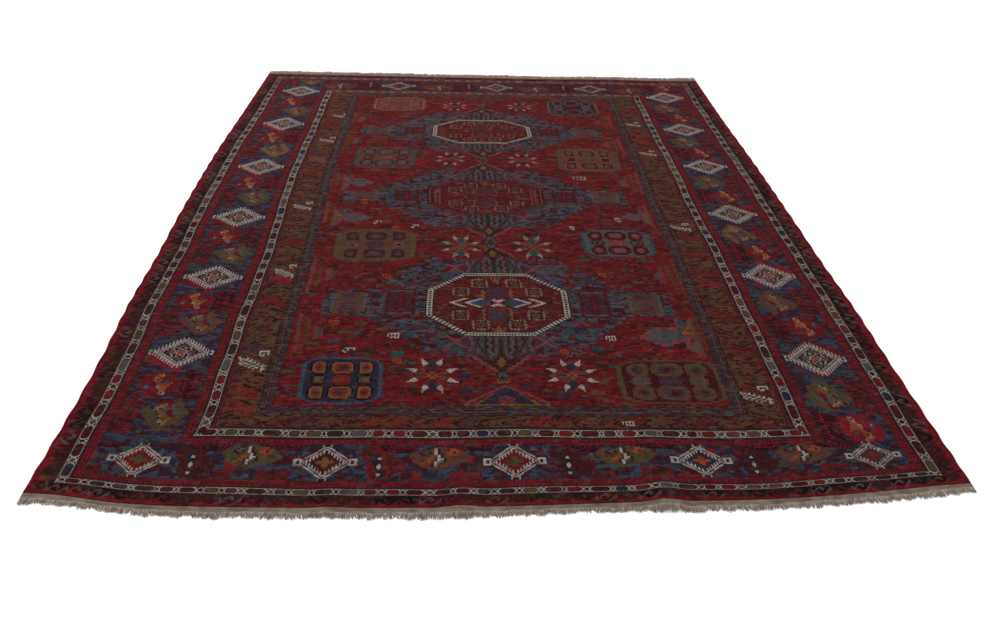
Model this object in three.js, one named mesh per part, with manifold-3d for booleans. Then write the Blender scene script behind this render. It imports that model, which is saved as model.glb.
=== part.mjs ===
// A flat-woven oriental rug lying on a floor: the patterned cloth, an overcast cord along each side,
// and at each end a band of plain weave with the cut warp ends.
// Millimetres, +Z up. X runs across the rug and Y along it, with the near end at -Y.
// The origin is on the floor under the middle of the rug.
import * as THREE from "three";
import { mergeVertices } from "three/addons/utils/BufferGeometryUtils.js";
import Module from "manifold-3d";

const wasm = await Module();
wasm.setup();

// Driving sizes of the rug before it is laid down
const rugWidth = 2100; // over both side cords
const rugLength = 2859; // the patterned cloth, without the end bands
const clothThickness = 3;
const pieceGap = 0.3;

const cordWidth = 6;
const cordHeight = 4.5;
const cordSides = 8;

const bandThickness = 1.8;
const ends = [
  { name: "fringe_near", start: 0, outward: -1, bandWidth: 17, locks: 150, lockLength: 19, seed: 1 },
  { name: "fringe_far", start: rugLength, outward: 1, bandWidth: 18, locks: 150, lockLength: 24, seed: 2 },
];
const lockSides = 3;
const lockRootInset = 3; // how far a lock's root runs into its band
const lockLean = 2.4; // most that a lock's tip leans to one side
const lockSpread = 0.3; // share by which a lock's length varies
// A lock from its root to its tip
const lockRings = [
  { width: 6, height: 1.2, lift: 0.3 },
  { width: 8, height: 2.2, lift: 0 },
  { width: 2.4, height: 0.9, lift: 0 },
];

// How far each side has stretched outwards, by the place along the rug
const sideStretch = [
  { along: 0, left: 4, right: 2 },
  { along: 300, left: 3, right: 3 },
  { along: 500, left: 8, right: 5 },
  { along: 740, left: 20, right: 10 },
  { along: 1020, left: 22, right: 7 },
  { along: 1360, left: 32, right: 9 },
  { along: 1860, left: 35, right: 8 },
  { along: 2300, left: 24, right: 1 },
  { along: rugLength, left: 12, right: 0 },
];

// How far each end bows outwards, by the place across the rug
const endBow = [
  { across: -1050, near: 6, far: 6 },
  { across: -970, near: 14, far: 5 },
  { across: -830, near: 40, far: 4 },
  { across: -640, near: 53, far: 2 },
  { across: -250, near: 61, far: -2 },
  { across: 0, near: 59, far: -4 },
  { across: 300, near: 50, far: -7 },
  { across: 600, near: 44, far: 3 },
  { across: 830, near: 24, far: -3 },
  { across: 960, near: 8, far: 2 },
  { across: 1050, near: 0, far: 6 },
];
const bowReach = 190; // how far into the rug a bow is felt
const bowFade = 1.2;

// The rug lies a little askew: how far a line across it tilts, by the place along it
const skew = [
  { along: 0, tilt: 0 },
  { along: 190, tilt: -0.011 },
  { along: rugLength, tilt: -0.025 },
];

// Low ripples that run in from the near end
const ripples = [
  { across: -385, height: 3, halfWidth: 55, reach: 170 },
  { across: -100, height: 6, halfWidth: 60, reach: 210 },
  { across: 345, height: 9, halfWidth: 65, reach: 240 },
];

// Steps of the sheet's mesh
const acrossStep = 75;
const alongStep = 115;
const endSteps = [0, 16, 38, 65, 95, 130, 170, 210, 260];
const rippleSteps = [-1, -0.6, -0.25, 0, 0.25, 0.6, 1];
const leastStep = 12;

const clothColour = 0x6b1a1f;
const cordColour = 0x6e1a20;
const bandColour = 0x83756a;

const sheetWidth = rugWidth - 2 * (cordWidth + pieceGap);

// The value of one column of a table at a place, on a smooth curve through the rows
function readTable(table, placeColumn, place, valueColumn) {
  const last = table.length - 1;
  const row = (n) => table[THREE.MathUtils.clamp(n, 0, last)];
  const slopeAt = (n) =>
    (row(n + 1)[valueColumn] - row(n - 1)[valueColumn]) /
    (row(n + 1)[placeColumn] - row(n - 1)[placeColumn]);
  let i = 0;
  while (i < last - 1 && place > table[i + 1][placeColumn]) i += 1;
  const span = row(i + 1)[placeColumn] - row(i)[placeColumn];
  const t = THREE.MathUtils.clamp((place - row(i)[placeColumn]) / span, 0, 1);
  const rise = t * t * (3 - 2 * t);
  return (
    (1 - rise) * row(i)[valueColumn] +
    rise * row(i + 1)[valueColumn] +
    t * (1 - t) * (1 - t) * span * slopeAt(i) -
    t * t * (1 - t) * span * slopeAt(i + 1)
  );
}

// 1 in the middle of a ripple, falling to 0 at its edge
function hump(share) {
  return Math.cos((Math.PI / 2) * Math.min(Math.abs(share), 1)) ** 2;
}

function rippleLift(across, along) {
  const near = ends[0];
  const pastBand = (-along - near.bandWidth) / near.lockLength;
  let lift = 0;
  for (const ripple of ripples) {
    const fade = along > 0 ? hump(along / ripple.reach) : hump(Math.max(pastBand, 0));
    lift += ripple.height * hump((across - ripple.across) / ripple.halfWidth) * fade;
  }
  return lift;
}

// Moves a point of the flat rug to where it lies on the floor
function lay(across, along, up) {
  const side = across / (rugWidth / 2);
  const left = readTable(sideStretch, "along", along, "left");
  const right = readTable(sideStretch, "along", along, "right");
  const fromNear = THREE.MathUtils.clamp(1 - along / bowReach, 0, 1) ** bowFade;
  const fromFar = THREE.MathUtils.clamp(1 - (rugLength - along) / bowReach, 0, 1) ** bowFade;
  return new THREE.Vector3(
    across + ((1 + side) * right - (1 - side) * left) / 2,
    along -
      fromNear * readTable(endBow, "across", across, "near") +
      fromFar * readTable(endBow, "across", across, "far") +
      across * readTable(skew, "along", along, "tilt"),
    up + rippleLift(across, along),
  );
}

// Puts every vertex of a geometry where a function of its own place says
function moveVertices(geometry, place) {
  const position = geometry.attributes.position;
  for (let i = 0; i < position.count; i += 1) {
    const moved = place(position.getX(i), position.getY(i), position.getZ(i));
    position.setXYZ(i, moved.x, moved.y, moved.z);
  }
  geometry.computeVertexNormals();
  return geometry;
}

// Sorts places and drops those that crowd the one before, keeping the last
function spaced(places) {
  const sorted = [...places].sort((a, b) => a - b);
  const last = sorted[sorted.length - 1];
  const kept = [sorted[0]];
  for (const place of sorted) {
    const clear = place - kept[kept.length - 1] >= leastStep;
    if (clear && last - place >= leastStep) kept.push(place);
  }
  kept.push(last);
  return kept;
}

function sheetColumns() {
  const places = ripples.flatMap((ripple) =>
    rippleSteps.map((step) => ripple.across + step * ripple.halfWidth),
  );
  const count = Math.round(sheetWidth / acrossStep);
  for (let i = 0; i <= count; i += 1) places.push((i / count - 0.5) * sheetWidth);
  return spaced(places);
}

function rowsAlong() {
  const first = endSteps[endSteps.length - 1];
  const count = Math.round((rugLength - first) / alongStep);
  const places = [...endSteps];
  for (let i = 1; i <= count; i += 1) places.push(first + (i / count) * (rugLength - first));
  return places;
}

// A sheet whose mesh lines lie at the given columns and rows, moved onto the floor
function laidSheet(columns, rows, thickness) {
  const box = new THREE.BoxGeometry(1, 1, 1, columns.length - 1, rows.length - 1, 1);
  return moveVertices(box, (x, y, z) =>
    lay(
      columns[Math.round((x + 0.5) * (columns.length - 1))],
      rows[Math.round((y + 0.5) * (rows.length - 1))],
      (z + 0.5) * thickness,
    ),
  );
}

// A side cord: an eight-sided bar with a flat underside, inner edge beside the sheet
function laidCord(side) {
  const rows = rowsAlong();
  const flat = Math.cos(Math.PI / cordSides);
  const tube = new THREE.CylinderGeometry(
    1,
    1,
    1,
    cordSides,
    rows.length - 1,
    false,
    Math.PI / cordSides,
  );
  const middle = side * (rugWidth / 2 - cordWidth / 2);
  return moveVertices(tube, (x, y, z) =>
    lay(
      middle + (x / flat) * (cordWidth / 2),
      rows[Math.round((y + 0.5) * (rows.length - 1))],
      ((z / flat + 1) * cordHeight) / 2,
    ),
  );
}

// An uneven number between -1 and 1, the same each time
function uneven(index, seed) {
  return Math.sin(index * 12.9898 + seed * 78.233 + Math.sin(index * 4.1414) * 3);
}

// One lock of cut warps: three-sided, flat below, thinning to its tip
function laidLock(end, index) {
  const pitch = rugWidth / end.locks;
  const middle = (index + 0.5) * pitch - rugWidth / 2;
  const length = end.lockLength * (1 + lockSpread * uneven(index, end.seed));
  const lean = lockLean * uneven(index, end.seed + 5);
  const rootOut = pieceGap + end.bandWidth - lockRootInset;
  const segments = lockRings.length - 1;
  const sideReach = Math.sin((2 * Math.PI) / lockSides);
  const foot = Math.cos((2 * Math.PI) / lockSides);
  const bar = new THREE.CylinderGeometry(1, 1, 1, lockSides, segments);
  return moveVertices(bar, (x, y, z) => {
    const share = end.outward > 0 ? y + 0.5 : 0.5 - y;
    const ring = lockRings[Math.round(share * segments)];
    return lay(
      middle + lean * share + ((x / sideReach) * ring.width) / 2,
      end.start + end.outward * (rootOut + share * (length + lockRootInset)),
      ring.lift + ((z - foot) / (1 - foot)) * ring.height,
    );
  });
}

function solidOf(geometry) {
  geometry.deleteAttribute("normal");
  geometry.deleteAttribute("uv");
  const merged = mergeVertices(geometry);
  return new wasm.Manifold(
    new wasm.Mesh({
      numProp: 3,
      vertProperties: Float32Array.from(merged.attributes.position.array),
      triVerts: Uint32Array.from(merged.index.array),
    }),
  );
}

function geometryOf(solid) {
  const mesh = solid.getMesh();
  const geometry = new THREE.BufferGeometry();
  geometry.setAttribute("position", new THREE.BufferAttribute(mesh.vertProperties, 3));
  geometry.setIndex(new THREE.BufferAttribute(mesh.triVerts, 1));
  geometry.computeVertexNormals();
  return geometry;
}

// The plain band at one end with its locks fused to it by their roots. It shares the sheet's columns,
// so that the gap between them stays even, and runs on past the side cords.
function laidFringe(end) {
  const inner = end.start + end.outward * pieceGap;
  const outer = inner + end.outward * end.bandWidth;
  const rows = [inner, outer].sort((a, b) => a - b);
  const columns = [-rugWidth / 2, ...sheetColumns(), rugWidth / 2];
  let solid = solidOf(laidSheet(columns, rows, bandThickness));
  for (let i = 0; i < end.locks; i += 1) solid = solid.add(solidOf(laidLock(end, i)));
  return geometryOf(solid);
}

const rug = new THREE.Group();

function addPiece(name, geometry, colour, roughness) {
  const material = new THREE.MeshStandardMaterial({ color: colour, roughness, metalness: 0 });
  const mesh = new THREE.Mesh(geometry, material);
  mesh.name = name;
  rug.add(mesh);
}

addPiece("rug_cloth", laidSheet(sheetColumns(), rowsAlong(), clothThickness), clothColour, 0.95);
addPiece("selvedge_left", laidCord(-1), cordColour, 0.9);
addPiece("selvedge_right", laidCord(1), cordColour, 0.9);
for (const end of ends) addPiece(end.name, laidFringe(end), bandColour, 0.95);

// The floor under the middle of the rug is the origin
const middle = new THREE.Box3().setFromObject(rug).getCenter(new THREE.Vector3());
rug.position.set(-middle.x, -middle.y, 0);

export default rug;
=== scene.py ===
import math
import random

import bpy
import numpy as np
from mathutils import Matrix, Vector


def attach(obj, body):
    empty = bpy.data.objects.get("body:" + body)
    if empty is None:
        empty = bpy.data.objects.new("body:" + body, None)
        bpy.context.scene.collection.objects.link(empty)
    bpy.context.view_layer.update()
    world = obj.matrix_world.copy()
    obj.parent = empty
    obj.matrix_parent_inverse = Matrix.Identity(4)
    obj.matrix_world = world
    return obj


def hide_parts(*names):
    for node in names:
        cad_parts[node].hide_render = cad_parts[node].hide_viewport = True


# An old flat-woven oriental rug laid out on a studio floor, near end towards the camera.
# Places on the rug are in millimetres: across from its middle line, along from the near end
# of the patterned cloth. Blender's own units are metres.

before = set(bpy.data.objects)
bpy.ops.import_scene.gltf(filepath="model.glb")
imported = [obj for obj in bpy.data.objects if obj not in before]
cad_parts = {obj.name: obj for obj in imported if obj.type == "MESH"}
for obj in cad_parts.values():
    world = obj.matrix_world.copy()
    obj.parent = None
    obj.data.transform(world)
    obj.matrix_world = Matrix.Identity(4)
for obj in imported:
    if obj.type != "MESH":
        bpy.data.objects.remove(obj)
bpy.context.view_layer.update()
mm = 0.001


# How the flat cloth lies on the floor, the same as in the part's source

rug = {
    "width": 2100,  # over both side cords
    "length": 2859,  # patterned cloth alone
    "thickness": 3,
    "gap": 0.3,
    "cordWidth": 6,
    "cordHeight": 4.5,
    "bowReach": 190,
    "bowFade": 1.2,
    "scallop": 1.5,  # how far the sides wave in and out
    "scallopWaves": (15, 130),
    "scallopFrom": (0.96, 0.04),  # begins and grows, in shares of half the width
    "scallopFade": (60, 900),  # from the near and the far end
}
sheetWidth = rug["width"] - 2 * (rug["cordWidth"] + rug["gap"])

ends = {
    "near": {"start": 0, "outward": -1, "band": 17, "lock": 19, "rise": 1.5, "seed": 11},
    "far": {"start": rug["length"], "outward": 1, "band": 18, "lock": 38, "rise": 9, "seed": 12},
}

sideStretch = {
    "along": (0, 300, 500, 740, 1020, 1360, 1860, 2300, 2859),
    "left": (4, 3, 8, 20, 22, 32, 35, 24, 12),
    "right": (2, 3, 5, 10, 7, 9, 8, 1, 0),
}
endBow = {
    "across": (-1050, -970, -830, -640, -250, 0, 300, 600, 830, 960, 1050),
    "near": (6, 14, 40, 53, 61, 59, 50, 44, 24, 8, 0),
    "far": (6, 5, 4, 2, -2, -4, -7, 3, -3, 2, 6),
}
skew = {"along": (0, 190, 2859), "tilt": (0, -0.011, -0.025)}
ripples = (
    {"across": -385, "height": 3, "halfWidth": 55, "reach": 170},
    {"across": -100, "height": 6, "halfWidth": 60, "reach": 210},
    {"across": 345, "height": 9, "halfWidth": 65, "reach": 240},
)


def readTable(places, values, at):
    # a smooth curve through the rows of a table, for a whole array of places
    places = np.array(places, float)
    values = np.array(values, float)
    last = len(places) - 1
    before = np.maximum(np.arange(last + 1) - 1, 0)
    after = np.minimum(np.arange(last + 1) + 1, last)
    slopes = (values[after] - values[before]) / (places[after] - places[before])
    i = np.searchsorted(places[1:-1], at, side="left")
    span = places[i + 1] - places[i]
    t = np.clip((at - places[i]) / span, 0, 1)
    rise = t * t * (3 - 2 * t)
    return (
        (1 - rise) * values[i]
        + rise * values[i + 1]
        + t * (1 - t) ** 2 * span * slopes[i]
        - t * t * (1 - t) * span * slopes[i + 1]
    )


def hump(share):
    return np.cos(math.pi / 2 * np.minimum(np.abs(share), 1)) ** 2


def rippleLift(across, along):
    pastBand = (-along - ends["near"]["band"]) / ends["near"]["lock"]
    lift = np.zeros_like(across)
    for ripple in ripples:
        fade = np.where(along > 0, hump(along / ripple["reach"]), hump(np.maximum(pastBand, 0)))
        lift += ripple["height"] * hump((across - ripple["across"]) / ripple["halfWidth"]) * fade
    return lift


def lay(across, along, up=0.0):
    # arrays of places on the flat rug in, an array of points on the floor out, in millimetres
    across, along, up = np.broadcast_arrays(
        np.asarray(across, float), np.asarray(along, float), np.asarray(up, float)
    )
    side = across / (rug["width"] / 2)
    left = readTable(sideStretch["along"], sideStretch["left"], along)
    right = readTable(sideStretch["along"], sideStretch["right"], along)
    fromNear = np.clip(1 - along / rug["bowReach"], 0, 1) ** rug["bowFade"]
    fromFar = np.clip(1 - (rug["length"] - along) / rug["bowReach"], 0, 1) ** rug["bowFade"]
    x = across + ((1 + side) * right - (1 - side) * left) / 2
    begin, grow = rug["scallopFrom"]
    nearFade, farFade = rug["scallopFade"]
    short, long = rug["scallopWaves"]
    atEdge = np.clip((np.abs(side) - begin) / grow, 0, 1)
    awayFromEnds = np.clip(along / nearFade, 0, 1) * np.clip((rug["length"] - along) / farFade, 0, 1)
    x = x + rug["scallop"] * np.sin(along / short + 1.5 * np.sin(along / long)) * atEdge * awayFromEnds
    y = (
        along
        - fromNear * readTable(endBow["across"], endBow["near"], across)
        + fromFar * readTable(endBow["across"], endBow["far"], across)
        + across * readTable(skew["along"], skew["tilt"], along)
    )
    return np.stack([x, y, up + rippleLift(across, along)], axis=-1)


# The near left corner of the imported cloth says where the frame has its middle
corner = min((v.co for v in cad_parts["rug_cloth"].data.vertices), key=lambda co: co.x + co.y)
cornerAsLaid = lay(-sheetWidth / 2, 0.0)
shift = Vector((corner.x - cornerAsLaid[0] * mm, corner.y - cornerAsLaid[1] * mm, 0))
print("frame loaded, middle of the rug found")


# The camera stands where the photograph was taken from

view = {
    "place": (-0.09156, -1.43208, 1.38255),
    "pitchDown": 33.135,
    "yaw": 2.624,
    "roll": 1.389,
    "lens": 31.68,
    "sensor": 36,
    "clipEnd": 60,
}


def makeCamera():
    pitch = math.radians(view["pitchDown"])
    yaw = math.radians(view["yaw"])
    roll = math.radians(view["roll"])
    forward = Vector((math.sin(yaw) * math.cos(pitch), math.cos(yaw) * math.cos(pitch), -math.sin(pitch)))
    level = Vector((math.cos(yaw), -math.sin(yaw), 0))
    upright = level.cross(forward)
    right = level * math.cos(roll) + upright * math.sin(roll)
    top = upright * math.cos(roll) - level * math.sin(roll)
    data = bpy.data.cameras.new("camera")
    data.lens = view["lens"]
    data.sensor_width = view["sensor"]
    data.clip_end = view["clipEnd"]
    camera = bpy.data.objects.new("camera", data)
    turn = Matrix((right, top, -forward)).transposed()
    camera.matrix_world = Matrix.Translation(Vector(view["place"]) + shift) @ turn.to_4x4()
    bpy.context.scene.collection.objects.link(camera)
    bpy.context.scene.camera = camera


makeCamera()
print("camera placed")


# Shader tools

class Signal:
    # wraps an output socket, so that maths on it is written as an expression
    def __init__(self, finish, socket):
        self.finish = finish
        self.socket = socket

    def math(self, operation, *values):
        return self.finish.node("ShaderNodeMath", {"operation": operation}, dict(enumerate(values)))

    def __add__(self, other):
        return self.math("ADD", self, other)

    def __radd__(self, other):
        return self.math("ADD", other, self)

    def __sub__(self, other):
        return self.math("SUBTRACT", self, other)

    def __rsub__(self, other):
        return self.math("SUBTRACT", other, self)

    def __mul__(self, other):
        return self.math("MULTIPLY", self, other)

    def __rmul__(self, other):
        return self.math("MULTIPLY", other, self)

    def __truediv__(self, other):
        return self.math("DIVIDE", self, other)

    def __mod__(self, other):
        return self.math("FLOORED_MODULO", self, other)

    def __rpow__(self, other):
        return self.math("POWER", other, self)

    def __gt__(self, other):
        return self.math("GREATER_THAN", self, other)

    def __lt__(self, other):
        return self.math("LESS_THAN", self, other)

    def __abs__(self):
        return self.math("ABSOLUTE", self)

    def floor(self):
        return self.math("FLOOR", self)

    def smaller(self, other):
        return self.math("MINIMUM", self, other)

    def larger(self, other):
        return self.math("MAXIMUM", self, other)

    def sine(self):
        return self.math("SINE", self)

    def isNear(self, value, reach):
        return self.math("COMPARE", self, value, reach)

    def isBetween(self, low, high):
        return self.isNear((low + high) / 2, (high - low) / 2)


class NodeSet:
    # a node tree and the ways to add nodes to it
    def __init__(self, tree):
        self.tree = tree

    def node(self, kind, settings=None, inputs=None, output=0):
        made = self.tree.nodes.new(kind)
        for name, value in (settings or {}).items():
            if name == "stops":
                self.setStops(made.color_ramp, value)
            elif name == "interpolation":
                made.color_ramp.interpolation = value
            else:
                setattr(made, name, value)
        for name, value in (inputs or {}).items():
            if isinstance(value, Signal):
                self.tree.links.new(value.socket, made.inputs[name])
            else:
                made.inputs[name].default_value = value
        return Signal(self, made.outputs[output]) if len(made.outputs) else None

    def setStops(self, ramp, stops):
        while len(ramp.elements) > 1:
            ramp.elements.remove(ramp.elements[-1])
        for place, (position, colour) in enumerate(stops):
            stop = ramp.elements.new(position) if place else ramp.elements[0]
            stop.position = position
            stop.color = colour

    def ramp(self, factor, stops, interpolation="CONSTANT"):
        settings = {"interpolation": interpolation, "stops": stops}
        return self.node("ShaderNodeValToRGB", settings, {0: factor})

    def mix(self, factor, under, over):
        return self.node("ShaderNodeMix", {"data_type": "RGBA"}, {0: factor, 6: under, 7: over}, 2)

    def vector(self, operation, *values, output=0):
        return self.node("ShaderNodeVectorMath", {"operation": operation}, dict(enumerate(values)), output)

    def place(self, x, y, z=0.0):
        return self.node("ShaderNodeCombineXYZ", {}, {0: x, 1: y, 2: z})

    def uv(self, name):
        vector = self.node("ShaderNodeUVMap", {"uv_map": name})
        return [self.node("ShaderNodeSeparateXYZ", {}, {0: vector}, axis) for axis in (0, 1)]

    def noise(self, x, y, detail=2.0, z=0.0):
        # a value around 0.5, on coordinates that are already scaled
        inputs = {"Vector": self.place(x, y, z), "Scale": 1.0, "Detail": detail}
        return self.node("ShaderNodeTexNoise", {}, inputs)

    def chance(self, x, y, z=0.0):
        # an even random value for each whole-numbered place
        return self.node("ShaderNodeTexWhiteNoise", {}, {"Vector": self.place(x, y, z)})

    def group(self, name, kind, build, *values):
        # a node group that is built once and used wherever its name comes up again
        if name not in bpy.data.node_groups:
            inside = NodeSet(bpy.data.node_groups.new(name, "ShaderNodeTree"))
            sockets = inside.tree.interface
            for place in range(len(values)):
                sockets.new_socket(f"in{place}", in_out="INPUT", socket_type="NodeSocketFloat")
            sockets.new_socket("out", in_out="OUTPUT", socket_type="NodeSocket" + kind)
            taken = [inside.node("NodeGroupInput", output=place) for place in range(len(values))]
            inside.node("NodeGroupOutput", {}, {0: build(inside, *taken)})
        settings = {"node_tree": bpy.data.node_groups[name]}
        return self.node("ShaderNodeGroup", settings, dict(enumerate(values)))


class Finish(NodeSet):
    # a material built from nodes
    def __init__(self, name):
        self.material = bpy.data.materials.new(name)
        self.material.use_nodes = True
        super().__init__(self.material.node_tree)
        self.shader = self.tree.nodes["Principled BSDF"]

    def shade(self, colour, value, saturation=1.0, hue=0.5):
        inputs = {"Hue": hue, "Saturation": saturation, "Value": value, "Color": colour}
        return self.node("ShaderNodeHueSaturation", {}, inputs)

    def surface(self, colour, roughness, height=None, depth=1.0):
        # joins the colour and the relief to the shader
        self.tree.links.new(colour.socket, self.shader.inputs["Base Color"])
        if height is not None:
            bump = self.node("ShaderNodeBump", {}, {"Strength": 1.0, "Distance": depth, "Height": height})
            self.tree.links.new(bump.socket, self.shader.inputs["Normal"])
        self.shader.inputs["Roughness"].default_value = roughness
        return self.material

    def wool(self, colour, roughness, height=None, depth=1.0):
        self.shader.inputs["Specular IOR Level"].default_value = weave["gloss"]
        return self.surface(colour, roughness, height, depth)


def linear(red, green, blue):
    # a screen colour from 0 to 255 as Blender's linear light
    parts = [part / 255 for part in (red, green, blue)]
    parts = [part / 12.92 if part <= 0.04045 else ((part + 0.055) / 1.055) ** 2.4 for part in parts]
    return (*parts, 1.0)


yarns = {
    "madder": linear(80, 20, 22),
    "brick": linear(92, 29, 22),
    "maroon": linear(52, 18, 22),
    "crimson": linear(99, 20, 32),
    "rose": linear(94, 48, 48),
    "orange": linear(114, 56, 31),
    "gold": linear(88, 61, 37),
    "olive": linear(61, 53, 35),
    "brown": linear(73, 46, 37),
    "umber": linear(41, 26, 23),
    "black": linear(24, 14, 18),
    "navy": linear(31, 31, 46),
    "blue": linear(41, 52, 69),
    "sky": linear(50, 71, 84),
    "teal": linear(31, 54, 56),
    "green": linear(39, 56, 39),
    "purple": linear(54, 35, 44),
    "slate": linear(64, 58, 60),
    "ivory": linear(131, 122, 116),
    "linen": linear(105, 94, 86),
}


# Charts: one letter is one block of stitches and a dot is bare ground. A chart mirrored in "x" shows
# its right half, and one mirrored in "xy" its top right quarter.

def drawnChart(columns, rows, letterAt):
    # the rows of a quarter chart from a rule, top row first
    return ["".join(letterAt(i, j) for i in range(columns)) for j in reversed(range(rows))]


diamondHeart = "oorirbbbbkk ooirirbbbr roirrrirr irrrrirr rrirrir rirrri bririr bbrri bbri bbr br".split()


def combedDiamond(i, j):
    # bands of a stepped diamond with a comb on both sides of its outline
    ring = i + j
    if ring < len(diamondHeart):
        return (diamondHeart[j] + "rr")[i]
    if i > 18 and j < 3:
        return "i" if j or i > 19 else "k"
    band = "rtikiiTTTT"[ring - 11 : ring - 10]
    if band == "t":
        return "i" if i % 2 else "r"
    if band == "T":
        return "i" if i % 2 else "."
    return band or "."


def tabbedLozenge(i, j):
    # a long lozenge with an open tab at each side and a smaller one above and below
    x, y = (i + 0.5) * 3.6, (j + 0.5) * 2.2
    out = x / 61 + y / 42
    if x > 54 and y < 9:
        return "k" if 57 < x < 66 and y < 5 else "i"
    if y > 39 and x < 11:
        return "k" if x < 7 and y < 46 else "i"
    if out > 1.03:
        return "."
    if out > 0.93:
        return "i"
    if out > 0.85:
        return "k"
    if out > 0.77:
        return "i"
    if out > 0.61:
        return "i" if i % 2 else "r"
    return "g" if x / 24 + y / 14 < 1 and (x < 7 or y < 4) else "r"


def eightRays(i, j):
    # a star of eight pointed rays with light tips
    x, y = i + 0.5, j + 0.5
    for steep, along, aside in ((True, y, x), (False, x, y)):
        reach = 0.93 * along + 0.36 * aside
        off = 0.93 * aside - 0.36 * along
        if abs(off) < min(reach * 0.24, (21 - reach) * 0.4, 2.2):
            if reach > 13:
                return "i"
            if reach < 5:
                return "o"
            return "r" if off > 0 else "c" if steep else "a"
    return "c" if x < 3 and 7 < y < 15 else "."


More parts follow.
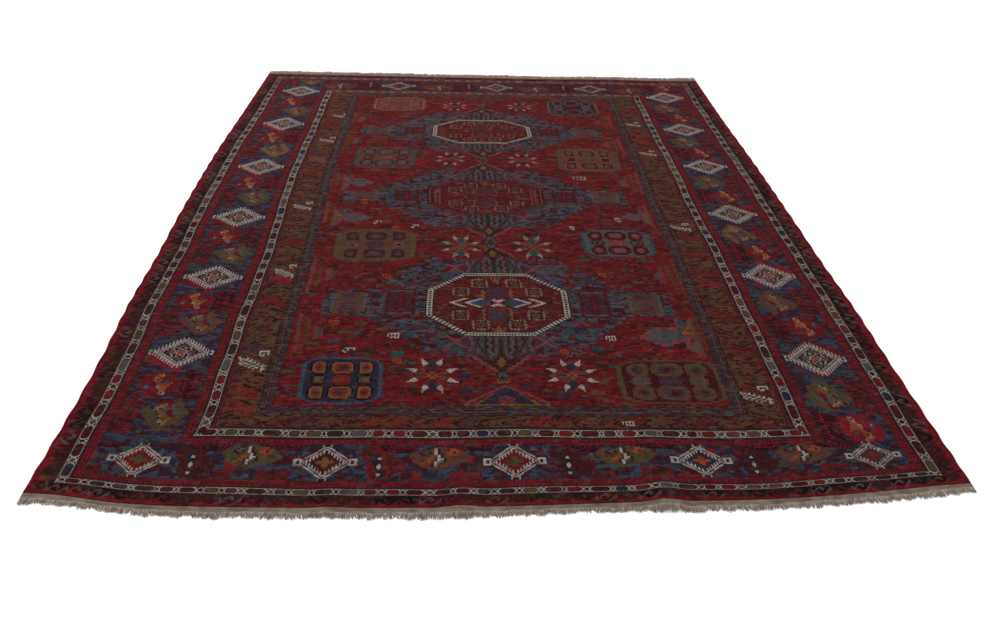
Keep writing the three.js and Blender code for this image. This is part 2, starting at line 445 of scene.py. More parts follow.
charts = {
    "diamond": {"mirror": "xy", "letters": "irbko", "rows": drawnChart(21, 21, combedDiamond)},
    "lozenge": {"mirror": "xy", "letters": "irkg", "rows": drawnChart(20, 24, tabbedLozenge)},
    "chain": {
        "mirror": "xy",
        "letters": "figk",
        "rows": """
            iiiiiiiiiiiiiiii
            fffffffkiikkkkki
            ffffffffkiikkkii
            fffffffffkiikiig
            fffffffffkiiiigg
            ffffffffffkiiggg
            ffffffffffkiiggg
        """.split(),
    },
    "hook": {
        "mirror": "",
        "letters": "kh",
        "rows": """
            kkkkkkkkkkkkkkkkkkkk
            kkkkkkkkkhhhkkkkkkkk
            hkkkkkkkhhhhhhkkkkkk
            hhkkkkkhhh..hhhkkkkh
            hhhkkkkhh..kkkhhkkhh
            hhhhkkkkh.kkkkkhhkhh
            ..hhhkkkkkkkkkk.hhhh
            ...hhhkkkkkkkk...hhh
            ....hhhkkkkk.....hh.
            ......hhh...........
            ....................
            ....................
        """.split(),
    },
    "leafBird": {
        "mirror": "",
        "letters": "grikbo",
        "rows": """
            .............gg.....
            ........rrr.ggg.....
            .......rrrr.gggg....
            ......rooirrbggg....
            ..g..ooiiorrbbggg...
            .ggg.oikoobbbbgggg..
            ggggbbooobbrrbbgggg.
            gggggbkoobbrrbbbgggg
            .ggggbbkoobrrrbbgggg
            ..ggggbbooobrrrbggg.
            ...ggggbkooooorggg..
            ....ggggbioooogggg..
            .....ggggiioogggg...
            ......ggggkiogggg...
            .......gggggggg.....
            ........gggggg......
            .........gggg.......
        """.split(),
    },
    "fireBird": {
        "mirror": "",
        "letters": "roikbc",
        "rows": """
            ........rrrr........
            ......rrrrrrrr......
            ....rrrrooirrrrr....
            ...rrrroooirrrrrr...
            ..rrrroiiorrrrrrrr..
            .rrrrrrikoorrbrrrrr.
            rrrrrrrooorrbbrrrrrr
            rrrrrrrkooorbrrorrrr
            rrrrbrrrkoooooorrrrr
            rrrbbbrrriooooorrrrr
            .rrbibrrriiooorrrrr.
            ..rrbrrrrroooorrrr..
            ...rrrrrrrriiorrr...
            ....rrrrrrrikirr....
            ccc...rrrrrriirr....
            cccrr...rrrrrr......
            crrr......rr........
        """.split(),
    },
    "fret": {
        "mirror": "",
        "letters": "k",
        "rows": "........ kk.kkkk. k..k..k. k.kkk.kk k.k.k..k kkk.kk.k".split(),
    },
    "threeDots": {
        "mirror": "xy",
        "letters": "ik",
        "rows": "k... ik.. iik. kkk. .... k... ik.. iik.".split(),
    },
    "gul": {
        "mirror": "xy",
        "letters": "bkorncl",
        "rows": """
            bbcbbcbbcbbb.......
            kkkkkkkkkkkkbbb....
            llllkkkklllllkkbb..
            oooolkklooooolkkbb.
            rrroolkloorroolkkbb
            krroolklorrrrolkkcb
            kkrrolklorkkrolkkbb
            krroolklorrrrolkkbb
            rrroolkloorroolkkcb
            oooolkklooooolkkkbb
            llllkkkklllllkkkkbb
            rrrkkkkklllllkkkkcb
            rrrrkkklnnnnnlkkkbb
            rrrrkkklnnoonlkkkbb
        """.split(),
    },
    "star": {"mirror": "xy", "letters": "iacor", "rows": drawnChart(20, 20, eightRays)},
    "flower": {
        "mirror": "xy",
        "letters": "ikgo",
        "rows": """
            i.i....
            i.i..i.
            ..k..i.
            gk.k..i
            ggk..i.
            gogk...
            kggk.ii
        """.split(),
    },
    "bow": {
        "mirror": "xy",
        "letters": "ibck",
        "rows": """
            ......ii....ii......
            .i.....ii....ii.....
            iii..bbbii....ii....
            iikbbbbbbii....ii...
            ickbbbbbbbii....ii..
            cckbbbbbbbbii....ii.
        """.split(),
    },
    "pillar": {
        "mirror": "x",
        "letters": "gkpobcr",
        "rows": """
            g.g.......
            gkg.......
            gg........
            .g........
            ..........
            ..........
            ppppp.....
            pppppp..g.
            pppppp..gg
            pppppp.og.
            pppppp..gg
            ppppp...g.
            ..........
            ..........
            ..........
            ..........
            ..........
            rrrrr..g..
            bbbbbb.gg.
            bccbbb..g.
            ccbbbb.gg.
            bbbbbb..g.
            bbbbbb.gg.
            bbbbb.....
            rrr.......
            ..........
            g.........
            gg.g......
            ogg.......
            g.g.......
        """.split(),
    },
    "comb": {
        "mirror": "",
        "letters": "ik",
        "rows": "iiiiiii. iki.i.i. i.i.i.i. i.....i. ..iii.i. ..i.iii.".split(),
    },
    "hookedComb": {
        "mirror": "",
        "letters": "ik",
        "rows": ".iiiii .ki.ki .ki.ki iki.k. iik... .i....".split(),
    },
    "bird": {
        "mirror": "",
        "letters": "ikr",
        "rows": """
            .........iiiii.
            .........i...i.
            .........i.i.i.
            ..........ii...
            i..............
            iii.i..........
            .ikii.i........
            ..ikkii.i......
            .i.iikkii.i....
            ..i..iikkii.i..
            ....i..iikkiii.
            ......i..iiki..
            ........i...ii.
            ............i..
        """.split(),
    },
    "redBlock": {
        "mirror": "xy",
        "letters": "krps",
        "rows": """
            kkkkkkkk.
            sssssssk.
            rrssssrkp
            kkkkkkrkp
            pppppprkp
            kkkkkkkkp
            rkkppppkp
            rkpkkkkkp
            rkppppkkp
            rkkkkkpkp
            rkppppkkp
            rkkkpkkkp
        """.split(),
    },
    "goldBlock": {
        "mirror": "xy",
        "letters": "gkobr",
        "rows": """
            kkkkoggo..
            gggokggobb
            kkkkkggobb
            rrrrkggobb
            kkkkoggobb
            ggggoggobb
            kkkkkggobb
            bbbbkggobb
            kkkkoggobb
            ggggoggobb
        """.split(),
    },
    "saltire": {
        "mirror": "xy",
        "letters": "r",
        "rows": ".....rrr ....rrr. ...rrr.. ..rrr... .rrr.... rrr..... rr...... r.......".split(),
    },
    "tent": {
        "mirror": "x",
        "letters": "gkor",
        "rows": """
            r...................
            rr..................
            krr.................
            kkkrr...............
            kkkk.rr.............
            kkkkk..rr...........
            kkkkkkg..rr.........
            kkkkkkkg..rr........
            rkkkkkkkg..rr.......
            orrkkkkkkg...rr.....
            roorkkkkkkg...rr....
            orrokkkkkkkgg..rrr..
            roorkkkkkkkkgg...rrr
            orrkkkkkkkkkkgg...rr
            gggggggggggggggggggg
        """.split(),
    },
    "wing": {
        "mirror": "x",
        "letters": "gkitrpb",
        "rows": """
            gg..................
            ggg.................
            .kg.................
            ki..................
            itk.................
            tik.................
            kkrr................
            kkkrrr..............
            gkkkkrrr............
            ggkkppkrrr..........
            ggkkpppkkrr.........
            gkkbbppkkkrrr.......
            kkbbttpbbkkbrr......
            kktttpbbbtbbbbb.....
            pitkttbkbbttbbbbb...
            pitkpttkbkttbbttbb..
            kitkptkkikktbbttbbb.
            kipkttkkitkbbttbbbbb
            pitkpttkitkbbttpbbbb
            pitkpttkiktkbbtpbbbb
            kitkttpkitkkbbttpbbb
            kitkpttkitkbbbttbbbb
        """.split(),
    },
    "goldHex": {
        "mirror": "",
        "letters": "gokibr",
        "rows": """
            ........ggggkk......
            .....oogggkigkkbb...
            ...gooorggkigbbkbg..
            ..ggorooggkigkbbkgg.
            .gggoroogkkigkbkkggg
            .ggggooggkigggkkgggg
            gggggggggkigoggggggg
            ggggggggkiigooggggg.
            .gggggggkbikgoogggg.
            ..ggggggkbbikoogggg.
            ...ggggggkbikggogg..
            .....gggggkikgggg...
            .......ggggggggg....
            .........ggggg......
        """.split(),
    },
    "flame": {
        "mirror": "",
        "letters": "rcb",
        "rows": """
            ............rrrrcr..
            ..........rrrccrrb..
            ........rrrrcrrcbrr.
            ......rrcrrcbrccrrr.
            ....rrrrcrrcbrccrr..
            ..rrcrrcrrrcbccrr...
            rrrrcrrcrrcbccrr....
            rrcrrrcrrrcbcrrr....
            .rrcrrcrrccbcrcr....
            ...rrcrrccbrrcrr....
            .....rcrccbrcrr.....
            .......rcbrrcr......
            ........rrcrr.......
        """.split(),
    },
    "arrow": {
        "mirror": "",
        "letters": "rtgbo",
        "rows": """
            .............rb...r
            .............rbb.rg
            .............rbbbrg
            .............rbbgrg
            .....rrrrrrrr.rgorg
            ...rrtttttttrggogrg
            ..rttbtttttttbooorg
            rrtttttbbtttbbtggrg
            rrtttttttttttttrrrg
            ..rrttttbtttrrrr.rg
            ....rrttttrr..rrtrg
            ......rrrr....rrtrg
            ..............rttrg
            ...............rtrg
            ................rrg
            .................rg
        """.split(),
    },
}


bitPlanes = 3  # room for seven letters in a chart
offChart = 9.0  # a coordinate well outside every chart, which runs from -1 to 1


def planesOf(chart):
    # each row as one number for each bit plane; the half keeps rounding away from the edge
    rows = chart["rows"]
    blank = "." * len(rows[0])
    rows = [blank, *rows] if "y" in chart["mirror"] else [blank, *rows, blank]
    leftPad = "" if "x" in chart["mirror"] else "."
    rows = [leftPad + row + "." for row in rows]
    stops = []
    for place, row in enumerate(reversed(rows)):
        planes = [0.5] * bitPlanes
        for column, letter in enumerate(row):
            number = ("." + chart["letters"]).index(letter)
            for plane in range(bitPlanes):
                if number >> plane & 1:
                    planes[plane] += 2**column
        stops.append((place / len(rows), (*planes, 1.0)))
    return stops, len(rows), len(rows[0])


def lettersAt(finish, chartName, x, y):
    # the number of the letter at a place that runs from -1 to 1 over the whole chart, 0 where bare
    chart = charts[chartName]

    def build(inside, x, y):
        stops, rows, columns = planesOf(chart)
        row = (abs(y) if "y" in chart["mirror"] else (y + 1) * 0.5) * len(chart["rows"])
        column = (abs(x) if "x" in chart["mirror"] else (x + 1) * 0.5) * len(chart["rows"][0])
        if "y" not in chart["mirror"]:
            row = row + 1
        if "x" not in chart["mirror"]:
            column = column + 1
        planes = inside.ramp((row.floor() + 0.5) / rows, stops)
        column = column.floor().larger(0).smaller(columns - 1)
        shifted = inside.vector("FLOOR", inside.vector("DIVIDE", planes, 2**column))
        bits = inside.vector("MODULO", shifted, (2, 2, 2))
        return inside.vector("DOT_PRODUCT", bits, (1, 2, 4), output="Value")

    return finish.group("chart " + chartName, "Float", build, x, y)


def paint(finish, under, chartName, x, y, names, tints=None):
    # lays a chart over the colour under it, with the yarns of its letters named in their order
    letters = charts[chartName]["letters"]
    number = lettersAt(finish, chartName, x, y)
    count = 2**bitPlanes
    colours = [yarns[name] for name in names.split()]
    stops = [(0.0, colours[0]), *(((place + 1) / count, colour) for place, colour in enumerate(colours))]
    over = finish.ramp((number + 0.5) / count, stops)
    for letter, tint in (tints or {}).items():
        over = finish.mix(number.isNear(letters.index(letter) + 1, 0.3), over, tint)
    return finish.mix(number > 0.5, under, over)


def pick(finish, factor, names):
    # one of several yarns by a value from 0 to 1
    names = names.split()
    return finish.ramp(factor, [(place / len(names), yarns[name]) for place, name in enumerate(names)])


# Dyeing, weave and wear that all the woven wool shares, with sizes in metres

weave = {
    "stitchWidth": 0.004,
    "stitchHeight": 0.0022,
    "stitchVariety": 0.3,
    "streak": (0.09, 0.006),
    "streakVariety": 0.42,
    "patch": (0.3, 0.07),
    "patchVariety": 0.26,
    "ridgeDepth": 0.0007,
    "cockle": (0.09, 0.06),
    "cockleDepth": 0.0035,
    "roughness": 0.93,
    "gloss": 0.01,
    "worn": "umber maroon olive maroon brick slate black",
    "dyeContrast": 1.5,
    "hueVariety": 0.02,
}


def dyed(finish, seed, names, length=0.16, height=0.011):
    # a ground whose yarn changes in streaks across the rug, as hand-dyed wefts do
    def build(inside):
        u, v = inside.uv("cloth")
        streak = inside.noise(u / length, v / height, 2.0, seed)
        return pick(inside, (streak - 0.5) * weave["dyeContrast"] + 0.5, names)

    return finish.group(f"dyed {seed}", "Color", build)


def flecks(finish, under, seed, share, names, width=0.014, height=0.0066, strength=1.0):
    # small odd stitches of other yarns
    def cellOf(inside):
        u, v = inside.uv("cloth")
        row = (v / height).floor()
        return (u / width + inside.chance(row, seed)).floor(), row

    def here(inside):
        return inside.chance(*cellOf(inside), seed) > 1 - share

    def which(inside):
        return pick(inside, inside.chance(*cellOf(inside), seed + 40), names)

    fleckHere = finish.group(f"fleck {seed}", "Float", here)
    fleckYarn = finish.group(f"fleck yarn {seed}", "Color", which)
    return finish.mix(fleckHere * strength, under, fleckYarn)


def weaveLight(inside):
    # how light each place is, from stitch to stitch, along its streak and over wider patches
    u, v = inside.uv("cloth")
    column = (u / weave["stitchWidth"]).floor()
    row = (v / weave["stitchHeight"]).floor()
    stitch = inside.chance(column, row, 3)
    streak = inside.noise(u / weave["streak"][0], v / weave["streak"][1], 2.0, 5)
    patch = inside.noise(u / weave["patch"][0], v / weave["patch"][1], 3.0, 9)
    return (
        1
        + (stitch - 0.5) * weave["stitchVariety"]
        + (streak - 0.5) * weave["streakVariety"]
        + (patch - 0.5) * weave["patchVariety"]
    )


def weaveHeight(inside):
    # slanted wrapped stitches in a herringbone, and the low cockling of an old cloth
    u, v = inside.uv("cloth")
    slant = abs((u / weave["stitchWidth"]) % 1 - 0.5)
    ridge = ((v / weave["stitchHeight"] + slant) * math.pi).sine()
    cockle = inside.noise(u / weave["cockle"][0], v / weave["cockle"][1], 2.0, 2)
    return abs(ridge) * weave["ridgeDepth"] + cockle * weave["cockleDepth"]


def wovenFinish(name, pattern):
    finish = Finish(name)
    colour = pattern(finish)
    colour = flecks(finish, colour, 95, 0.26, weave["worn"], 0.016, 0.0084, strength=0.34)
    colour = flecks(finish, colour, 96, 0.3, weave["worn"], 0.007, 0.005, strength=0.28)
    light = finish.group("weave light", "Float", weaveLight)
    colour = finish.shade(colour, light, hue=0.5 + (light - 1) * weave["hueVariety"])
    height = finish.group("weave height", "Float", weaveHeight)
    return finish.wool(colour, weave["roughness"], height)


def stepped(value, step):
    return (value / step).floor() * step + step / 2


# Borders. Each strip has s, counted in repeats along it, and t across it.

farStripsFrom = 2.625  # metres along the cloth


def atFarEnd(finish):
    # 1 across the far end, where the yarns are browner and redder
    return finish.uv("cloth")[1] > farStripsFrom


guard = {
    "fill": "maroon umber brown maroon navy purple madder slate maroon umber olive",
    "link": "black maroon umber olive black slate",
    "rows": "maroon crimson madder crimson",
    "lines": "umber umber black",  # beside the chain
    "linesReach": 1.7,
    "dotAt": 2.2,
    "dotsInRepeat": 5.5,
    "edgeAt": 2.9,
    "unevenness": 1.1,
}


def guardPattern(finish):
    s, t = finish.uv("design")
    s = s + (finish.noise(s * 0.55, 0.0, 1.0) - 0.5) * guard["unevenness"]
    repeat = (s + 0.5).floor()
    fill = pick(finish, finish.chance(repeat, 1.0, 7), guard["fill"])
    link = pick(finish, finish.chance(s.floor(), 2.0, 7), guard["link"])
    rows = dyed(finish, 23, guard["rows"], 0.1, 0.01)
    lines = pick(finish, abs(t) - 0.95, guard["lines"])
    under = finish.mix(abs(t) < guard["linesReach"], rows, lines)
    dots = (s * guard["dotsInRepeat"] % 1).isNear(0.5, 0.24) * t.isNear(guard["dotAt"], 0.16)
    under = finish.mix(dots, under, yarns["black"])
    under = finish.mix(t.isNear(guard["edgeAt"], 0.12), under, yarns["umber"])
    tints = {"f": fill, "g": link}
    chain = paint(finish, under, "chain", (s - repeat) * 2, t, "madder ivory black black", tints)
    chain = finish.mix(atFarEnd(finish) * 0.5, chain, yarns["brown"])
    return finish.mix(abs(t) < 1, under, chain)


outer = {
    "ground": "umber maroon crimson madder crimson maroon",
    "hooks": "umber maroon umber slate black umber slate olive",
    "darkHooks": "black umber black maroon",
}


def outerPattern(finish):
    s, t = finish.uv("design")
    under = dyed(finish, 21, outer["ground"], 0.06, 0.014)
    tints = {
        "h": pick(finish, finish.chance(s.floor(), 3.0, 5), outer["hooks"]),
        "k": pick(finish, finish.chance(s.floor(), 4.0, 5), outer["darkHooks"]),
    }
    return paint(finish, under, "hook", (s % 1) * 2 - 1, t * 2 - 1, "black slate", tints)


border = {
    "ground": "umber navy teal purple blue navy maroon navy slate teal navy",
    "patches": "maroon purple crimson teal navy",
    "stitches": "maroon purple blue green umber",
    "panels": "purple maroon crimson maroon madder",
    "plainPanels": "madder crimson brick",
    "panelStep": 6,
    "edge": "umber",
    "edgeFrom": 0.96,
}


def mainBorder(finish, side):
    # the wide border: diamonds with a leaf bird and a fire bird between them
    s, t = finish.uv("design")
    repeat = (s + 0.5).floor()
    luck = finish.chance(repeat, 6.0, side["seed"])
    ground = dyed(finish, 31, border["ground"], 0.055, 0.026)
    ground = flecks(finish, ground, 32, 0.14, border["patches"], 0.046, 0.018)
    ground = flecks(finish, ground, 33, 0.08, border["stitches"])
    panels = dyed(finish, 35, border["panels"], 0.06, 0.03)
    pitch, half = side["pitch"], side["half"]
    for panel in side["panels"]:
        place = (s - panel["at"] + t * panel["slant"] + 0.5) % 1 - 0.5
        inside = stepped(abs(place) * pitch, border["panelStep"]) < panel["long"] / 2
        inside = inside * t.isBetween(*panel["across"])
        fretX = (place * pitch / panel["tile"]) % 1 * 2 - 1
        fretY = (t * half / panel["tile"]) % 1 * 2 - 1
        if panel["fret"]:
            filled = paint(finish, panels, "fret", fretX, fretY, panel["fret"])
        else:
            filled = pick(finish, luck, border["plainPanels"])
        ground = finish.mix(inside, ground, filled)
    for motif in side["motifs"]:
        alongMotif = ((s - motif["at"] + 0.5) % 1 - 0.5) * (2 * pitch / motif["long"])
        acrossMotif = (t * half - motif["offset"]) * (2 / motif["wide"])
        tints = {}
        for letter, names in motif["tints"].items():
            chanceHere = finish.chance((s - motif["at"] + 0.5).floor(), 8.0, side["seed"] + motif["wide"])
            tints[letter] = pick(finish, chanceHere, names)
        if motif["at"] == 0:
            # there is no diamond before the first one
            acrossMotif = acrossMotif + (s < -0.5) * offChart
        x, y = (alongMotif, acrossMotif) if side["lies"] else (acrossMotif, alongMotif)
        ground = paint(finish, ground, motif["chart"], x, y, motif["yarns"], tints)
    if side["lies"]:
        ground = finish.mix(atFarEnd(finish) * 0.3, ground, yarns["maroon"])
    return finish.mix(abs(t) > border["edgeFrom"], ground, yarns[border["edge"]])


sideBorder = {
    "pitch": 425,
    "half": 92,
    "seed": 4,
    "lies": False,
    "panels": (
        {"at": 0.31, "slant": 0.05, "long": 130, "across": (-0.94, -0.4), "fret": "umber", "tile": 23},
        {"at": 0.69, "slant": 0.05, "long": 120, "across": (0.36, 0.94), "fret": "black", "tile": 23},
        {"at": 0.6, "slant": -0.1, "long": 40, "across": (-0.5, 0.3), "fret": None, "tile": 23},
        {"at": 0.84, "slant": 0.12, "long": 34, "across": (-0.9, 0.2), "fret": None, "tile": 23},
    ),
    "motifs": (
        {
            "chart": "leafBird", "at": 0.36, "offset": 22, "long": 130, "wide": 116,
            "yarns": "gold madder linen umber slate gold",
            "tints": {"g": "gold olive brown olive"},
        },
        {
            "chart": "fireBird", "at": 0.65, "offset": -20, "long": 118, "wide": 108,
            "yarns": "madder orange linen black blue maroon",
            "tints": {"r": "madder crimson madder madder"},
        },
        {
            "chart": "diamond", "at": 0, "offset": 0, "long": 156, "wide": 168,
            "yarns": "ivory maroon slate umber orange",
            "tints": {"r": "maroon umber maroon madder maroon"},
        },
    ),
}

endBorder = {
    "pitch": 427,
    "half": 47,
    "seed": 9,
    "lies": True,
    "panels": (
        {"at": 0.33, "slant": 0.1, "long": 120, "across": (0.6, 0.92), "fret": "black", "tile": 23},
        {"at": 0.54, "slant": 0, "long": 52, "across": (-0.94, -0.46), "fret": "umber", "tile": 13},
        {"at": 0.26, "slant": 0, "long": 74, "across": (-0.94, -0.46), "fret": "umber", "tile": 13},
        {"at": 0.73, "slant": 0.1, "long": 110, "across": (0.5, 0.92), "fret": "black", "tile": 23},
    ),
    "motifs": (
        {
            "chart": "flame", "at": 0.7, "offset": -4, "long": 112, "wide": 92,
            "yarns": "maroon umber navy",
            "tints": {"r": "maroon madder maroon madder"},
        },
        {
            "chart": "goldHex", "at": 0.395, "offset": 12, "long": 140, "wide": 58,
            "yarns": "gold orange umber ivory slate madder",
            "tints": {"g": "brown olive gold brown"},
        },
        {
            "chart": "threeDots", "at": 0.715, "offset": -11, "long": 20, "wide": 54,
            "yarns": "ivory black",
            "tints": {},
        },
        {
            "chart": "lozenge", "at": 0, "offset": 0, "long": 144, "wide": 105,
            "yarns": "ivory maroon umber olive",
            "tints": {"r": "maroon navy maroon purple madder", "g": "gold orange rose brick olive"},
        },
    ),
}


brown = {
    "ground": "olive rose umber brown maroon brown olive brown brick brown umber",
    "stitches": "maroon umber brown brick olive maroon",
    "blocks": "madder purple brick brown crimson rose madder",
    "blocksInRepeat": 1.6,
    "blockSlant": 0.3,
    "blockShare": 0.4,
    "blockReach": 0.78,
    "hooks": "black",
    "hookSlant": 0.42,
    "hookReach": 0.86,
    "edge": "umber",
    "edgeFrom": 0.93,
}


def brownPattern(finish):
    s, t = finish.uv("design")
    place = s * brown["blocksInRepeat"]
    part = place + t * brown["blockSlant"]
    luck = finish.chance(part.floor(), 5.0, 6)
    under = dyed(finish, 41, brown["ground"], 0.06, 0.02)
    under = flecks(finish, under, 44, 0.3, brown["stitches"], 0.014, 0.006)
    block = (part % 1).isBetween(0.12, 0.88) * (abs(t) < brown["blockReach"])
    block = block * (luck > 1 - brown["blockShare"])
    blockYarn = pick(finish, luck * 2.5 - 1.5, brown["blocks"])
    under = finish.mix(block * 0.7, under, blockYarn)
    # Broken zigzags of dark hooks
    turned = (place + abs((t + 0.3) * brown["hookSlant"])) % 1
    broken = finish.noise(s * 2.4, t * 1.6, 1.0) > 0.5
    zigzag = (turned < 0.15).larger(turned.isNear(0.36, 0.045)) * broken * (abs(t) < brown["hookReach"])
    under = finish.mix(zigzag * 0.85, under, yarns[brown["hooks"]])
    return finish.mix(abs(t) > brown["edgeFrom"], under, yarns[brown["edge"]])


stripes = {
    "lines": "umber purple umber slate umber purple navy purple umber",
    "stitches": "purple umber maroon slate olive brown",
}


def stripePattern(finish):
    s, t = finish.uv("design")
    under = pick(finish, t, stripes["lines"])
    return flecks(finish, under, 51, 0.36, stripes["stitches"], 0.012, 0.005)


# Field

field = {
    "unit": 700,  # from one medallion's heart to the next
    "reds": "olive maroon crimson madder madder madder maroon madder brick maroon",
    "oddStitches": "umber navy crimson olive teal maroon umber brick maroon brown",
    "blues": "teal blue purple slate blue maroon slate teal maroon blue slate",
    "bluePatches": "maroon navy madder purple teal",
    "blueStitches": "maroon navy teal slate crimson umber",
    "halfWidth": 428,  # of the stepped arms round a heart
    "halfHeight": 253,
    "slope": 0.91,
    "step": 24,
    "band": (505, 62),  # half sizes of the bar through each medallion
    "wedgeStart": 572,  # striped wedges at the sides
    "wedgeHeart": 150,
    "wedgeReach": (90, 110),
    "wedgeStep": (12, 8),
    "wedgeStripes": "madder rose brick olive crimson rose slate brown",
    "wedgePitch": 100,
}

# Figures beside and above each medallion: chart, yarns, place from its heart and half sizes
armFigures = (
    ("redBlock", "maroon madder purple slate", (281, 0), (46, 68)),
    ("goldBlock", "brown purple olive slate brick", (430, 0), (50, 52)),
    ("wing", "gold umber teal slate rose maroon purple", (0, 268), (110, 104)),
    ("saltire", "rose", (122, 190), (32, 26)),
)


def redGround(finish):
    under = dyed(finish, 61, field["reds"], 0.08, 0.028)
    under = flecks(finish, under, 62, 0.11, field["oddStitches"], 0.034, 0.014)
    return flecks(finish, under, 63, 0.15, field["oddStitches"], 0.014, 0.007)


octagon = {
    "half": (205, 161),
    "chamfer": (98, 69),
    "sideSlope": 0.86,
    "step": 3.5,
    "ground": "maroon brick maroon madder umber madder brick",
    "stitches": "umber maroon olive purple rose madder",
    "flower": "linen umber olive rose",
    "lowFlower": (108, 62),
    "highFlower": (52, 107),
    "flowerHalf": (26, 25),
    "pillar": "gold umber purple orange purple blue brick",
    "pillarHalf": (48, 150),
    "bow": "ivory blue crimson black",
    "bowHalf": (146, 23),
    "ivory": (-15, 0),  # bands of the outline, measured from its outer line
    "dashes": (-12, -3),
    "dashPitch": (9, 12),
    "beadPitch": 17,
    "plainBand": (-8, -3),
    "outlineFrom": -18,
    "outlineTo": 3,
    "ribsFrom": 158,
    "ribPitch": 14,
    "ribs": "rose",
}


def octagonInside(finish, x, y, nearest):
    # small flowers round a pillar, with a bow across it in the near medallion alone
    inside = dyed(finish, 71, octagon["ground"], 0.07, 0.016)
    inside = flecks(finish, inside, 72, 0.24, octagon["stitches"], 0.014, 0.007)
    fromMiddle = abs(y + 3)
    isHigh = fromMiddle > 84
    lowX, lowY = octagon["lowFlower"]
    highX, highY = octagon["highFlower"]
    halfX, halfY = octagon["flowerHalf"]
    flowerX = (abs(x) - (lowX + (highX - lowX) * isHigh)) / halfX
    flowerY = (fromMiddle - (lowY + (highY - lowY) * isHigh)) / halfY
    figured = paint(finish, inside, "flower", flowerX, flowerY, octagon["flower"])
    halfX, halfY = octagon["pillarHalf"]
    figured = paint(finish, figured, "pillar", (x + 2) / halfX, (y + 6) / halfY, octagon["pillar"])
    halfX, halfY = octagon["bowHalf"]
    bowed = paint(finish, figured, "bow", x / halfX, y / halfY, octagon["bow"])
    figured = finish.mix(nearest.isNear(1, 0.3), figured, bowed)
    # The others show their figures less, and the middle one has ribs at its sides
    isMiddle = nearest.isNear(2, 0.3)
    shown = 1 - isMiddle * 0.35 - nearest.isNear(3, 0.3) * 0.3
    inside = finish.mix(shown, inside, figured)
    ribs = isMiddle * (abs(x) > octagon["ribsFrom"]) * (abs(x) / octagon["ribPitch"] % 1 > 0.5)
    return finish.mix(ribs * 0.7, inside, yarns[octagon["ribs"]])


def octagonPattern(finish, under, x, y, nearest):
    # a red octagon with an ivory outline, dashed on its straight sides and beaded on its slopes
    halfX, halfY = octagon["half"]
    cutX, cutY = octagon["chamfer"]
    slopeX, slopeY = halfY - cutY, halfX - cutX
    reach = slopeX * cutX + slopeY * halfY
    diagonal = (abs(x) * slopeX + abs(y) * slopeY - reach) / math.hypot(slopeX, slopeY)
    sideEdge = (abs(x) - halfX) * octagon["sideSlope"]
    endEdge = abs(y) - halfY
    edge = stepped(sideEdge.larger(endEdge).larger(diagonal), octagon["step"])
    onSlope = diagonal > sideEdge.larger(endEdge)
    onSide = sideEdge > endEdge
    pitchX, pitchY = octagon["dashPitch"]
    rung = (onSide * (y / pitchY % 1 > 0.4)).larger((1 - onSide) * (x / pitchX % 1 > 0.4))
    dash = rung * edge.isBetween(*octagon["dashes"]) * (1 - onSlope)
    bead = ((abs(x) - abs(y)) / octagon["beadPitch"] % 1 > 0.62) * onSlope
    rim = finish.mix(edge.isBetween(*octagon["ivory"]), yarns["umber"], yarns["ivory"])
    rim = finish.mix(dash.larger(bead), rim, yarns["black"])
    # The middle medallion's outline is plain
    plain = finish.mix(edge.isBetween(*octagon["plainBand"]), yarns["maroon"], yarns["rose"])
    rim = finish.mix(nearest.isNear(2, 0.3), rim, plain)
    body = finish.mix(edge > octagon["outlineFrom"], octagonInside(finish, x, y, nearest), rim)
    return finish.mix(edge < octagon["outlineTo"], under, body)


def fieldPattern(finish):
    x, w = finish.uv("design")
    x = x * 1000  # in millimetres from the field's middle line
    nearest = (w + 0.5).floor().larger(1).smaller(3)
    y = (w - nearest) * field["unit"]
    under = redGround(finish)
    blue = dyed(finish, 65, field["blues"], 0.07, 0.04)
    blue = flecks(finish, blue, 66, 0.2, field["bluePatches"], 0.036, 0.02)
    blue = flecks(finish, blue, 67, 0.14, field["blueStitches"], 0.014, 0.008)
    stepX = stepped(abs(x), field["step"])
    stepY = stepped(abs(y), field["step"])
    inArm = (stepX + stepY * field["slope"] < field["halfWidth"]) * (abs(y) < field["halfHeight"])
    bandX, bandY = field["band"]
    under = finish.mix(inArm.larger((abs(y) < bandY) * (abs(x) < bandX)), under, blue)
    # Stepped wedges of upright stripes on the long sides of the field
    fromSide = (field["wedgeStart"] - abs(x)).larger(0)
    fromHeart = abs(abs(y) - field["wedgeHeart"])
    wedge = 0
    for far, reach, step in zip((fromSide, fromHeart), field["wedgeReach"], field["wedgeStep"]):
        wedge = stepped(far, step) / reach + wedge
    luck = finish.chance(nearest * 2 + (y > 0), x > 0)
    stripe = pick(finish, (fromSide / field["wedgePitch"] + luck * 0.25) % 1, field["wedgeStripes"])
    under = finish.mix((wedge < 1) * 0.6, under, stripe)
    for chart, names, middle, half in armFigures:
        figureX = (abs(x) - middle[0]) / half[0]
        figureY = (abs(y) - middle[1]) / half[1]
        under = paint(finish, under, chart, figureX, figureY, names)
    return octagonPattern(finish, under, x, y, nearest)


back = {
    "ground": "madder umber maroon brown navy maroon",
    "stitches": "umber brown maroon slate brick",
}


def backPattern(finish):
    under = dyed(finish, 81, back["ground"], 0.05, 0.012)
    return flecks(finish, under, 83, 0.3, back["stitches"], 0.03, 0.004)


# The frames of the design from the outside in: the inner line of each, flat

